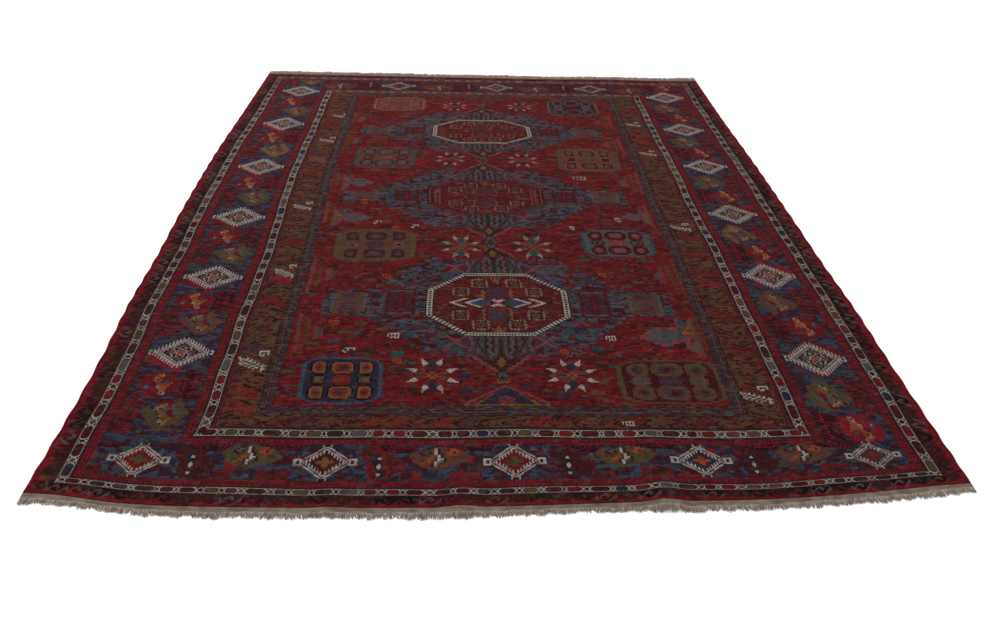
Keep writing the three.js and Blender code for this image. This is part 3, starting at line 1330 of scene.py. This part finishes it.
frames = (
    {"name": "outer", "half": 998, "near": 30, "far": 2838},
    {"name": "outerGuard", "half": 942, "near": 63, "far": 2795},
    {"name": "mainBorder", "half": 758, "near": 157, "far": 2665},
    {"name": "innerGuard", "half": 695, "near": 206, "far": 2625},
    {"name": "brown", "half": 605, "near": 250, "far": 2590},
    {"name": "stripes", "half": 570, "near": 290, "far": 2570},
)

# Where t is 0 in each strip, and the millimetres from there to t = 1, towards the field or away from it
stripAcross = {
    "outer": {"side": (1043.7, 45.7), "near": (0, 30), "far": (2859, 21), "inwards": 1},
    "outerGuard": {"side": (982, 12), "near": (39.5, 6.9), "far": (2824, 11), "inwards": 1},
    "mainBorder": {"side": (850, 92), "near": (110, 47), "far": (2730, 65), "inwards": 1},
    "innerGuard": {"side": (719, 12), "near": (187, 11), "far": (2640, 11), "inwards": -1},
    "brown": {"side": (650, 45), "near": (228, 22), "far": (2607.5, 17.5), "inwards": 1},
    "stripes": {"side": (605, 35), "near": (250, 40), "far": (2590, 20), "inwards": 1},
}
repeatLength = {
    "outer": (48, 48),
    "outerGuard": (65, 50),
    "innerGuard": (65, 50),
    "brown": (98, 92),
    "stripes": (100, 100),
}

# Where the ivory diamonds of the main border lie on the floor
diamondPlaces = {
    "left": [(-866, 523), (-866, 919), (-880, 1329), (-885, 1759), (-878, 2222), (-872, 2643)],
    "right": [(862, 2593), (860, 2178), (862, 1787), (862, 1366), (858, 930), (861, 485)],
    "near": [(865, 105), (455, 96), (20, 88), (-415, 96), (-840, 112)],
    "far": [(-414, 2745), (55, 2740), (506, 2728)],
}

# The medallions passed at each place along the cloth, and how far their middle line is towards +X
medallionPlaces = {
    "along": (290, 388, 594, 765, 937, 1142, 1348, 1492, 1636, 1818, 2001, 2136, 2271, 2460, 2570),
    "count": (0.3, 0.5, 0.77, 1, 1.23, 1.5, 1.77, 2, 2.23, 2.5, 2.77, 3, 3.23, 3.5, 3.7),
    "middle": (6, 6, 6, 6, 6, 0, -8, -8, -8, -10, -12, -12, -12, -12, -12),
}

# How far the inner guard strays from its straight line at the sides, towards +X
guardStray = {
    "along": (0, 250, 400, 550, 700, 850, 1000, 1200, 1400, 1600, 1800, 2000, 2200, 2400, 2859),
    "left": (2, 3.5, 1, 4, 8, 11, 10, 12, 7, 0, 3, 5, 3, 1.5, 2),
    "right": (4, 4.5, 4.5, 4, 2.6, 4, 6, 3.5, -1.5, 0, 0, -1.5, -3.5, -4.5, -4),
}

# How far the whole pattern strays lengthwise in the middle of the rug and along its sides
patternStray = {
    "along": (0, 30, 63, 200, 290, 520, 2250, 2590, 2700, 2838, 2859),
    "middle": (0, -7, -7.5, -7, -7, 0, 0, -17, -18, -18, 0),
    "sides": (0, -1.5, -2, -3, -3, 0, 0, -13, -16, -18, 0),
}

cloth = {
    "cell": 8.9,
    "underCells": 4,
    "wobble": 1.3,
    "wobbleFade": 60,
    "sidewaysWaves": (41, 160, 97, 300),
    "lengthwiseWaves": (53, 130, 119, 260),
    "guardAt": 719,
    "guardReach": 250,
    "middleHalf": 550,
    "middleFade": 350,
    "closingSteps": 12,  # towards each figure's place
    "sharpAngle": 40,
    "atlasTop": 0.93,
    "atlasUnder": (0.94, 0.035),
    "atlasRim": (0.98, 0.005, 0.003),
}

# Single figures by chart and yarns, each placed by where it lies on the floor: x, y, width and height
figures = (
    ("gul", "blueGul", [(-414, 397, 212, 190)]),
    ("gul", "oliveGul", [(440, 386, 268, 180)]),
    ("gul", "goldGul", [(-389, 1130, 262, 220)]),
    ("gul", "tealGul", [(412, 1146, 232, 188)]),
    ("gul", "greenGul", [(-411, 1860, 236, 203)]),
    ("gul", "brownGul", [(396, 1845, 241, 236)]),
    ("gul", "roseGul", [(-394, 2479, 231, 188)]),
    ("gul", "slateGul", [(393, 2445, 226, 222)]),
    ("star", "star", [(-180, 416, 136, 142), (186, 413, 132, 136)]),
    ("star", "brightStar", [(-108, 1120, 128, 158), (128, 1118, 128, 156)]),
    ("star", "dimStar", [
        (-153, 1848, 118, 134), (133, 1838, 118, 138), (-144, 2450, 112, 116), (152, 2450, 112, 116),
    ]),
    ("tent", "tent", [(11, 331, 214, 82)]),
    ("arrow", "arrow", [
        (478, 592, 165, 190), (-488, 1328, -140, 130), (-496, 1620, -116, 140), (505, 1338, 96, 120),
    ]),
    ("comb", "ivoryComb", [
        (-292, 600, 38, 26), (314, 584, 32, 26), (272, 1252, 18, 26), (440, 1316, 26, 32),
    ]),
    ("hookedComb", "ivoryComb", [
        (-410, 530, 34, 24), (-454, 1627, 34, 40), (-266, 1262, 26, 26), (-396, 1292, 26, 26),
    ]),
    ("comb", "linenComb", [(446, 505, 24, 20), (344, 1665, 56, 34), (330, 1950, 34, 28)]),
    ("comb", "orangeComb", [
        (-335, 925, 30, 26), (336, 934, 26, 24), (-275, 480, 26, 22), (178, 520, 26, 22),
        (-466, 668, 30, 24), (443, 676, 30, 24), (-455, 1455, 24, 40), (-330, 1250, 26, 24),
    ]),
)
birds = (
    ("bird", "bird", [
        (-656, 482, 84, 92), (652, 326, 84, 74), (-652, 955, 70, 84), (-668, 1416, 72, 66),
        (-664, 2040, 70, 60), (650, 1260, 70, 62), (650, 1916, 70, 60), (-640, 2320, 70, 50),
        (640, 2240, 66, 54),
    ]),
    ("comb", "ivoryComb", [(306, 216, 34, 18)]),
)

# The yarns of each set, in the order of its chart's letters
figureYarns = {
    "blueGul": "blue navy gold brick olive sky black",
    "oliveGul": "olive maroon olive purple slate brown brown",
    "goldGul": "olive brown maroon purple rose gold olive",
    "tealGul": "teal slate maroon rose olive sky maroon",
    "greenGul": "teal brown teal rose brick slate umber",
    "brownGul": "olive brown maroon olive umber brown rose",
    "roseGul": "rose brown rose brown rose linen rose",
    "slateGul": "slate umber purple maroon teal blue slate",
    "star": "ivory olive navy orange crimson",
    "brightStar": "linen olive teal gold rose",
    "dimStar": "linen rose umber olive crimson",
    "tent": "gold navy madder rose",
    "arrow": "rose slate olive blue orange",
    "ivoryComb": "ivory black",
    "linenComb": "linen umber",
    "orangeComb": "orange black",
    "bird": "ivory black madder",
}


def spacedLines(marks, step):
    # mesh lines at every mark, with even ones between them
    lines = [marks[0]]
    for low, high in zip(marks, marks[1:]):
        count = math.ceil((high - low) / step)
        lines += [low + (high - low) * n / count for n in range(1, count + 1)]
    return np.array(lines)


def waver(at, beside, lengths):
    # an uneven wave along one axis that changes a little along the other
    first, firstTurn, second, secondTurn = lengths
    return np.sin(at / first + np.sin(beside / firstTurn)) + np.sin(at / second + beside / secondTurn)


def wander(across, along):
    # small unevenness of the pattern within the cloth, none at its edges
    wide = cloth["wobble"]
    for fromEdge in (sheetWidth / 2 - np.abs(across), along, rug["length"] - along):
        wide = wide * np.clip(fromEdge / cloth["wobbleFade"], 0, 1)
    sideways = wide * waver(along, across, cloth["sidewaysWaves"])
    lengthwise = wide * waver(across, along, cloth["lengthwiseWaves"])
    left = readTable(guardStray["along"], guardStray["left"], along)
    right = readTable(guardStray["along"], guardStray["right"], along)
    near = np.clip(1 - np.abs(np.abs(across) - cloth["guardAt"]) / cloth["guardReach"], 0, 1)
    stray = near * np.where(across < 0, left, right)
    middle = readTable(patternStray["along"], patternStray["middle"], along)
    sides = readTable(patternStray["along"], patternStray["sides"], along)
    toSide = np.clip((np.abs(across) - cloth["middleHalf"]) / cloth["middleFade"], 0, 1)
    lift = middle + (sides - middle) * toSide
    return across + sideways + stray, along + lengthwise + lift


def flatPlace(x, y):
    # the place on the cloth that the camera sees in line with a point of the floor
    share = rug["thickness"] * mm / view["place"][2]
    x += (view["place"][0] / mm - x) * share
    y += (view["place"][1] / mm - y) * share
    across, along = float(x), float(y)
    for _ in range(cloth["closingSteps"]):
        laid = lay(*wander(across, along))
        across += x - laid[0]
        along += y - laid[1]
    return across, along


def layCloth(across, along, up):
    movedAcross, movedAlong = wander(across, along)
    return lay(movedAcross, movedAlong, up) * mm + np.array(shift)


def frameOf(across, along):
    # which frame each place is in, counted from outside, and on which of its four strips
    ring = np.zeros(across.shape, int)
    for row in frames:
        ring += (np.abs(across) < row["half"]) & (along > row["near"]) & (along < row["far"])
    halves = np.array([sheetWidth / 2, *(row["half"] for row in frames), 0])
    nears = np.array([0, *(row["near"] for row in frames), rug["length"] / 2])
    fars = np.array([rug["length"], *(row["far"] for row in frames), rug["length"] / 2])
    sideDepth = (halves[ring] - np.abs(across)) / (halves[ring] - halves[ring + 1])
    nearDepth = (along - nears[ring]) / (nears[ring + 1] - nears[ring])
    farDepth = (fars[ring] - along) / (fars[ring] - fars[ring + 1])
    # Strips meet in mitres, but the main border's near strip takes its corners and the far one none
    isMain = ring == [row["name"] for row in frames].index("mainBorder")
    nearDepth = np.where(isMain & (nearDepth < 1), 0, nearDepth)
    farDepth = np.where(isMain & (sideDepth < 1), np.inf, farDepth)
    strip = np.where(across < 0, "left", "right")
    strip = np.where(nearDepth < sideDepth, "near", strip)
    strip = np.where(farDepth < sideDepth, "far", strip)
    return ring, strip


def straighten(places, axis, at):
    # repeats counted through the given places, running on evenly at both ends
    marks = [flatPlace(*place)[axis] for place in places]
    order = np.argsort(marks)
    marks = np.array(marks)[order]
    count = np.arange(len(marks))[order].astype(float)
    value = np.interp(at, marks, count)
    for low, high, beyond in ((0, 1, at < marks[0]), (-1, -2, at > marks[-1])):
        slope = (count[low] - count[high]) / (marks[low] - marks[high])
        value = np.where(beyond, count[low] + (at - marks[low]) * slope, value)
    return value


def designPlace(name, strip, across, along):
    # s and t of a strip of the design, s running clockwise round the rug
    sizes = stripAcross[name]
    onSide = strip in ("left", "right")
    start, width = sizes["side" if onSide else strip]
    if onSide:
        t = (start - np.abs(across)) / width
        running = along if strip == "left" else -along
    else:
        t = (along - start) / width * (1 if strip == "near" else -1)
        running = across if strip == "far" else -across
    if name == "mainBorder":
        s = straighten(diamondPlaces[strip], int(onSide), along if onSide else across)
    else:
        s = running / repeatLength[name][0 if onSide else 1]
    return s, t * sizes["inwards"]


def fieldPlace(across, along):
    middle = np.interp(along, medallionPlaces["along"], medallionPlaces["middle"])
    return (across - middle) / 1000, np.interp(along, medallionPlaces["along"], medallionPlaces["count"])


def figureFinish(name, chart, yarnSet, ground):
    def pattern(finish):
        x, y = finish.uv("figure")
        return paint(finish, ground(finish), chart, x, y, figureYarns[yarnSet])

    return wovenFinish(name, pattern)


clothFinishes = {
    "outer": wovenFinish("wool outer border", outerPattern),
    "outerGuard": wovenFinish("wool guard stripe", guardPattern),
    "mainBorder": wovenFinish("wool main border sides", lambda finish: mainBorder(finish, sideBorder)),
    "mainBorderEnd": wovenFinish("wool main border ends", lambda finish: mainBorder(finish, endBorder)),
    "brown": wovenFinish("wool brown border", brownPattern),
    "stripes": wovenFinish("wool thin stripes", stripePattern),
    "field": wovenFinish("wool field", fieldPattern),
    "back": wovenFinish("wool underside", backPattern),
}
clothFinishes["innerGuard"] = clothFinishes["outerGuard"]


def clothLayer(columns, rows, up):
    # the flat places of one face of the cloth, row by row, and the same places on the floor
    across, along = (flat.ravel() for flat in np.meshgrid(columns, rows))
    return np.stack([across, along], axis=1), layCloth(across, along, up)


def layerFaces(points, upwards):
    faces = np.stack([points[:-1, :-1], points[:-1, 1:], points[1:, 1:], points[1:, :-1]], axis=-1)
    faces = faces.reshape(-1, 4)
    return (faces if upwards else faces[:, [0, 3, 2, 1]]).tolist()


def rimFaces(kept, above, below, outward):
    # each face joins one long edge of the underside to the short ones of the top above it
    faces = []
    for n in range(len(kept) - 1):
        face = [*below[n : n + 2].tolist(), *above[kept[n] : kept[n + 1] + 1][::-1].tolist()]
        faces.append(face if outward else face[::-1])
    return faces


def keptLines(count):
    return sorted({*range(0, count, cloth["underCells"]), count - 1})


def placeDesign(across, along):
    # the finish of each top face, and the design's own coordinates at its corners
    names = list(clothFinishes)
    ring, strip = frameOf(across.mean(axis=1), along.mean(axis=1))
    slotOfFace = np.full(len(across), names.index("field"))
    design = np.stack(fieldPlace(across, along), axis=-1)
    for number, row in enumerate(frames):
        for side in ("left", "right", "near", "far"):
            mine = (ring == number) & (strip == side)
            atEnd = row["name"] == "mainBorder" and side in ("near", "far")
            slotOfFace[mine] = names.index("mainBorderEnd" if atEnd else row["name"])
            design[mine] = np.stack(designPlace(row["name"], side, across[mine], along[mine]), axis=-1)
    return slotOfFace, design


def placeFigures(across, along, slotOfFace):
    # single figures take the faces they cover, with coordinates from -1 to 1 over each
    figure = np.full((*across.shape, 2), offChart)
    middleAcross, middleAlong = across.mean(axis=1), along.mean(axis=1)
    for ground, groundPattern, groups in (("field", redGround, figures), ("brown", brownPattern, birds)):
        groundSlot = list(clothFinishes).index(ground)
        for chart, yarnSet, spots in groups:
            name = f"{ground} {chart} {yarnSet}"
            clothFinishes[name] = figureFinish("wool " + name, chart, yarnSet, groundPattern)
            for x, y, wide, tall in spots:
                atAcross, atAlong = flatPlace(x, y)
                mine = np.abs(middleAcross - atAcross) < (abs(wide) + cloth["cell"]) / 2
                mine &= np.abs(middleAlong - atAlong) < (tall + cloth["cell"]) / 2
                mine &= slotOfFace == groundSlot
                slotOfFace[mine] = len(clothFinishes) - 1
                figure[mine, :, 0] = (across[mine] - atAcross) / (wide / 2)
                figure[mine, :, 1] = (along[mine] - atAlong) / (tall / 2)
    return figure


def atlasPlaces(parts, shareAcross, shareAlong, isUnder):
    # the top nearly fills the atlas, and the underside and the four rims share a strip beside it
    places = np.stack([shareAcross * cloth["atlasTop"], shareAlong], axis=1)
    begin = 0
    for number, faces in enumerate(parts):
        end = begin + sum(len(face) for face in faces)
        if number == 1:
            start, width = cloth["atlasUnder"]
            places[begin:end, 0] = start + width * shareAcross[begin:end]
        elif number > 1:
            start, step, width = cloth["atlasRim"]
            places[begin:end, 0] = start + step * (number - 2) + width * isUnder[begin:end]
            places[begin:end, 1] = (shareAcross if number < 4 else shareAlong)[begin:end]
        begin = end
    return places


def meshPiece(name, points, faces, materials, slotOfFace, uvMaps):
    # each map has a place for every corner of every face
    mesh = bpy.data.meshes.new(name)
    mesh.from_pydata(points.tolist(), [], faces)
    for layerName, places in uvMaps.items():
        layer = mesh.uv_layers.new(name=layerName)
        layer.data.foreach_set("uv", places.astype(np.float32).ravel())
    for material in materials:
        mesh.materials.append(material)
    mesh.polygons.foreach_set("material_index", slotOfFace.astype(np.int32))
    mesh.polygons.foreach_set("use_smooth", np.ones(len(faces), bool))
    mesh.update()
    piece = bpy.data.objects.new(name, mesh)
    bpy.context.scene.collection.objects.link(piece)
    return piece


def makeCloth():
    halves = [row["half"] for row in frames]
    marks = sorted([-sheetWidth / 2, sheetWidth / 2, 0.0, *halves, *(-half for half in halves)])
    columns = spacedLines(marks, cloth["cell"])
    marks = sorted([0.0, rug["length"], *(row["near"] for row in frames), *(row["far"] for row in frames)])
    rows = spacedLines(marks, cloth["cell"])
    keptColumns, keptRows = keptLines(len(columns)), keptLines(len(rows))
    topFlat, topPoints = clothLayer(columns, rows, rug["thickness"])
    underFlat, underPoints = clothLayer(columns[keptColumns], rows[keptRows], 0.0)

    # Faces of the top, the underside and the near, far, left and right rims
    base = len(topPoints)
    top = np.arange(base).reshape(len(rows), len(columns))
    under = base + np.arange(len(underPoints)).reshape(len(keptRows), len(keptColumns))
    parts = [
        layerFaces(top, True),
        layerFaces(under, False),
        rimFaces(keptColumns, top[0], under[0], True),
        rimFaces(keptColumns, top[-1], under[-1], False),
        rimFaces(keptRows, top[:, 0], under[:, 0], False),
        rimFaces(keptRows, top[:, -1], under[:, -1], True),
    ]
    faces = sum(parts, [])
    corners = np.array([point for face in faces for point in face])
    across, along = np.concatenate([topFlat, underFlat])[corners].T

    # The top's finishes and coordinates; the underside and the rims have one plain finish
    topCount = len(parts[0])
    topAcross = across[: topCount * 4].reshape(-1, 4)
    topAlong = along[: topCount * 4].reshape(-1, 4)
    slotOfTop, topDesign = placeDesign(topAcross, topAlong)
    topFigure = placeFigures(topAcross, topAlong, slotOfTop)
    slotOfFace = np.full(len(faces), list(clothFinishes).index("back"))
    slotOfFace[:topCount] = slotOfTop
    design = np.zeros((len(corners), 2))
    design[: topCount * 4] = topDesign.reshape(-1, 2)
    figure = np.full((len(corners), 2), offChart)
    figure[: topCount * 4] = topFigure.reshape(-1, 2)
    uvMaps = {
        "cloth": np.stack([across, along], axis=1) * mm,
        "design": design,
        "figure": figure,
        "OFBake": atlasPlaces(parts, across / sheetWidth + 0.5, along / rug["length"], corners >= base),
    }
    points = np.concatenate([topPoints, underPoints])
    piece = meshPiece("weave_cloth", points, faces, clothFinishes.values(), slotOfFace, uvMaps)
    piece.data.set_sharp_from_angle(angle=math.radians(cloth["sharpAngle"]))
    piece.data.update()
    return piece


weaveCloth = makeCloth()
print("patterned cloth woven:", len(weaveCloth.data.polygons), "faces")


# Side cords

cord = {
    "ringStep": 2.0,
    "sides": 10,
    "wrapPitch": 7,
    "wrapDepth": 0.12,
    "yarns": "maroon madder crimson madder maroon",
    "yarnPitch": 0.0016,  # between turns of yarn, in metres
    "yarnDepth": 0.0004,
    "dyeLength": 0.09,
    "dyeContrast": 1.8,
    "roughness": 0.9,
}


def tubeFaces(start, rings, sides):
    faces = []
    for ring in range(rings - 1):
        for n in range(sides):
            a = start + ring * sides + n
            b = start + ring * sides + (n + 1) % sides
            faces.append([a, b, b + sides, a + sides])
    faces.append([start + n for n in reversed(range(sides))])
    faces.append([start + (rings - 1) * sides + n for n in range(sides)])
    return faces


def threadPiece(name, points, places, faces, materials, slotOfFace):
    # a piece whose coordinates along its threads are given point by point
    corners = np.array([point for face in faces for point in face])
    return meshPiece(name, points, faces, materials, slotOfFace, {"thread": places[corners]})


def cordFinish():
    finish = Finish("overcast wool")
    along, around = finish.uv("thread")
    tone = finish.noise(along / cord["dyeLength"], 0.5, 2.0)
    colour = pick(finish, (tone - 0.5) * cord["dyeContrast"] + 0.5, cord["yarns"])
    turn = abs(((along / cord["yarnPitch"] + around) * math.pi).sine())
    # Painted shade and highlight: the yarn is darkened in the grooves between its turns and lightened on
    # their crowns, following the same ridge as the bump
    colour = finish.shade(colour, 0.75 + turn * 0.35)
    return finish.wool(colour, cord["roughness"], turn, cord["yarnDepth"])


overcastWool = cordFinish()


def makeCord(name, side):
    rings = round(rug["length"] / cord["ringStep"]) + 1
    along = np.linspace(0, rug["length"], rings)[:, None]
    angle = np.linspace(0, 2 * math.pi, cord["sides"], endpoint=False)[None, :]
    wrap = np.abs(np.sin(math.pi * along / cord["wrapPitch"] + angle * 0.5 * side))
    swell = 1 - cord["wrapDepth"] * (1 - wrap) ** 2
    middle = side * (rug["width"] / 2 - rug["cordWidth"] / 2)
    across = middle + np.cos(angle) * swell * rug["cordWidth"] / 2
    up = np.maximum(rug["cordHeight"] / 2 * (1 + np.sin(angle) * swell), 0)
    along, turns = np.broadcast_arrays(along, angle / (2 * math.pi))
    points = lay(across, along, up) * mm + np.array(shift)
    places = np.stack([along * mm, turns], axis=-1)
    faces = tubeFaces(0, rings, cord["sides"])
    return threadPiece(
        name, points.reshape(-1, 3), places.reshape(-1, 2), faces, [overcastWool], np.zeros(len(faces))
    )


cordLeft = makeCord("cord_left", -1)
cordRight = makeCord("cord_right", 1)
print("side cords wrapped")


# End bands and fringe

fringe = {
    "bandColumns": 420,
    "bandShares": (0.0, 0.33, 0.66, 0.94, 1.0),  # lines across the band
    "thickness": 1.8,
    "edgeThickness": 1.1,
    "raggedness": 2.4,
    "waves": (11.0, 23.0, 47.0, 83.0, 140.0, 260.0),  # of the ragged edge
    "waveRange": 3.2,
    "bandPace": 1.7,  # how much quicker the band changes than its tufts
    "threads": 3300,
    "inset": 2,  # of the outermost threads
    "threadWidth": 1.7,
    "rings": 4,
    "sides": 3,
    "rootInBand": 2.5,
    "shortest": 4.0,
    "usualLength": 0.66,  # these four are shares of the lock
    "unevenLength": 0.17,
    "tuftLength": 0.12,
    "strayLength": (-0.18, 0.26),
    "taper": 0.75,
    "lean": 4.5,
    "tuftLean": 4,
    "curl": 2.2,
    "bandShades": ((84, 70, 60), (111, 96, 84), (130, 114, 102)),
    "warpShades": ((118, 102, 92), (142, 126, 115), (168, 154, 143)),
    "oddWefts": "linen rose brown green linen",
    "weftPitch": 0.0026,  # this and the next two in metres
    "ribPitch": 0.0022,
    "ribDepth": 0.0006,
    "roughness": 0.95,
}


def undyed(finish, tone, shades):
    # wool of one colour in three shades, from dark to light
    stops = [(place, linear(*shade)) for place, shade in zip((0.3, 0.5, 0.7), shades)]
    return finish.ramp(tone, stops, "LINEAR")


def bandFinish():
    finish = Finish("plain woven band")
    u, v = finish.uv("thread")
    tone = finish.noise(u / 0.03, v / 0.02, 3.0)
    colour = undyed(finish, tone, fringe["bandShades"])
    weft = v / fringe["weftPitch"]
    weftYarn = pick(finish, finish.chance(weft.floor(), 1.0, 3), fringe["oddWefts"])
    colour = finish.mix((weft % 1 < 0.34) * 0.5, colour, weftYarn)
    rib = abs((u / fringe["ribPitch"] * math.pi).sine())
    # Painted shade and highlight: the band is darkened in the grooves between its warp ribs and lightened
    # on the ribs, following the same ridge as the bump
    colour = finish.shade(colour, 0.8 + rib * 0.25, saturation=0.9)
    return finish.wool(colour, fringe["roughness"], rib, fringe["ribDepth"])


def threadFinish():
    finish = Finish("undyed warp ends")
    u, v = finish.uv("thread")
    tone = finish.noise(u / 0.004, v / 0.05, 2.0)
    colour = undyed(finish, tone, fringe["warpShades"])
    return finish.wool(colour, fringe["roughness"])


bandWeave = bandFinish()
warpWool = threadFinish()


def ragged(across, phases):
    # an uneven value from -1 to 1 that changes slowly along the end
    waves = zip(fringe["waves"], phases)
    return sum(math.sin(across / length + phase) for length, phase in waves) / fringe["waveRange"]


def bandWidth(end, across, phases):
    return end["band"] + fringe["raggedness"] * ragged(across * fringe["bandPace"], phases)


def makeBand(end, phases):
    # the closed band, as points across, outwards and up
    count, shares = fringe["bandColumns"], fringe["bandShares"]
    points, faces = [], []
    for up, edgeUp in ((fringe["thickness"], fringe["edgeThickness"]), (0.0, 0.0)):
        for n in range(count + 1):
            across = (n / count - 0.5) * rug["width"]
            width = bandWidth(end, across, phases)
            points += [(across, share * width, up) for share in shares[:-1]]
            points.append((across, width, edgeUp))
    numbers = np.arange(len(points)).reshape(2, count + 1, len(shares))
    upper, lower = numbers.tolist()
    last = len(shares) - 1
    for n in range(count):
        for k in range(last):
            faces.append([upper[n][k], upper[n + 1][k], upper[n + 1][k + 1], upper[n][k + 1]])
            faces.append([lower[n][k], lower[n][k + 1], lower[n + 1][k + 1], lower[n + 1][k]])
        faces.append([lower[n][0], lower[n + 1][0], upper[n + 1][0], upper[n][0]])
        faces.append([upper[n][last], upper[n + 1][last], lower[n + 1][last], lower[n][last]])
    for k in range(last):
        faces.append([lower[0][k], upper[0][k], upper[0][k + 1], lower[0][k + 1]])
        faces.append([upper[-1][k], lower[-1][k], lower[-1][k + 1], upper[-1][k + 1]])
    return points, faces


def makeWarpEnds(end, phases, dice, start):
    # the cut warp ends in tufts, as points across, outwards and up; start is the first point's number
    rings, sides = fringe["rings"], fringe["sides"]
    rugEdge = rug["width"] / 2
    points, faces = [], []
    for n in range(fringe["threads"]):
        across = ((n + dice.random()) / fringe["threads"] - 0.5) * (rug["width"] - 2 * fringe["inset"])
        uneven = ragged(across, phases)
        tuft = math.sin(across / 4.7 + 2.5 * uneven)
        root = bandWidth(end, across, phases) - fringe["rootInBand"]
        length = fringe["usualLength"] + fringe["unevenLength"] * uneven + fringe["tuftLength"] * tuft
        length = end["lock"] * (length + dice.uniform(*fringe["strayLength"]))
        length = max(length, fringe["shortest"]) + fringe["rootInBand"]
        lean = dice.uniform(-fringe["lean"], fringe["lean"])
        lean += fringe["tuftLean"] * math.sin(across / 17 + phases[0])
        curl = dice.uniform(-fringe["curl"], fringe["curl"])
        rise = end["rise"] * dice.random()
        faces += tubeFaces(start + len(points), rings, sides)
        for ring in range(rings):
            share = ring / (rings - 1)
            width = fringe["threadWidth"] * (1 - fringe["taper"] * share**2) / 2
            middle = across + lean * share**1.5 + curl * math.sin(share * math.pi)
            up = 0.9 * (1 - share) + 0.1 + rise * math.sin(share * math.pi * 0.8)
            for side in range(sides):
                angle = side * 2 * math.pi / sides + math.pi / 2
                sideways = middle + width * math.cos(angle) * 1.1
                height = max(up + width * math.sin(angle) + width / 2, 0.0)
                points.append((min(max(sideways, -rugEdge), rugEdge), root + length * share, height))
    return points, faces


def makeFringe(name, end):
    dice = random.Random(end["seed"])
    phases = [dice.uniform(0, 6.28) for _ in fringe["waves"]]
    bandPoints, bandFaces = makeBand(end, phases)
    threadPoints, threadFaces = makeWarpEnds(end, phases, dice, len(bandPoints))
    faces = bandFaces + [face[::-1] for face in threadFaces]
    if end["outward"] < 0:
        faces = [face[::-1] for face in faces]
    across, out, up = np.array(bandPoints + threadPoints).T
    along = end["start"] + end["outward"] * (rug["gap"] + out)
    points = lay(across, along, up) * mm + np.array(shift)
    places = np.stack([across, out], axis=1) * mm
    slotOfFace = (np.arange(len(faces)) >= len(bandFaces)).astype(int)
    return threadPiece(name, points, places, faces, [bandWeave, warpWool], slotOfFace)


fringeNear = makeFringe("warp_ends_near", ends["near"])
fringeFar = makeFringe("warp_ends_far", ends["far"])
print("end bands and fringe made")


# What stands for what

for piece, node, slot in (
    (weaveCloth, "rug_cloth", "patterned_wool"),
    (cordLeft, "selvedge_left", "overcast_wool"),
    (cordRight, "selvedge_right", "overcast_wool"),
    (fringeNear, "fringe_near", "undyed_warp"),
    (fringeFar, "fringe_far", "undyed_warp"),
):
    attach(piece, "root")
    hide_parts(node)


# Floor and light

studio = {
    "floorColour": (0.93, 0.93, 0.93, 1),
    "floorPatches": (0.8, 0.8, 0.8, 1),
    "patchStrength": 0.03,
    "floorSize": 60,
    "floorRoughness": 0.8,
    "skyColour": (1, 1, 1, 1),
    "skyStrength": 0.95,
    "lampPlace": (-1.8, 3.6, 3.8),
    "lampAim": (0, 0.6, 0),
    "lampSize": 3.0,
    "lampPower": 260,
}


def makeStudio():
    finish = Finish("studio floor")
    tone = finish.noise(*finish.uv("floor"), 3.0)
    floorColour = finish.mix(tone * studio["patchStrength"], studio["floorColour"], studio["floorPatches"])
    half = studio["floorSize"] / 2
    floorCorners = [(-half, -half, 0), (half, -half, 0), (half, half, 0), (-half, half, 0)]
    mesh = bpy.data.meshes.new("floor")
    mesh.from_pydata(floorCorners, [], [[0, 1, 2, 3]])
    mesh.uv_layers.new(name="floor")
    mesh.materials.append(finish.surface(floorColour, studio["floorRoughness"]))
    floor = bpy.data.objects.new("floor", mesh)
    bpy.context.scene.collection.objects.link(floor)

    world = bpy.data.worlds.new("studio")
    bpy.context.scene.world = world
    world.use_nodes = True
    sky = world.node_tree.nodes["Background"]
    sky.inputs["Color"].default_value = studio["skyColour"]
    sky.inputs["Strength"].default_value = studio["skyStrength"]

    lamp = bpy.data.lights.new("softbox", "AREA")
    lamp.shape = "SQUARE"
    lamp.size = studio["lampSize"]
    lamp.energy = studio["lampPower"]
    softbox = bpy.data.objects.new("softbox", lamp)
    softbox.location = studio["lampPlace"]
    lampView = Vector(studio["lampAim"]) - softbox.location
    softbox.rotation_euler = lampView.to_track_quat("-Z", "Y").to_euler()
    bpy.context.scene.collection.objects.link(softbox)
    bpy.context.scene.view_settings.view_transform = "Standard"


makeStudio()
print("studio lit")

bpy.context.view_layer.update()
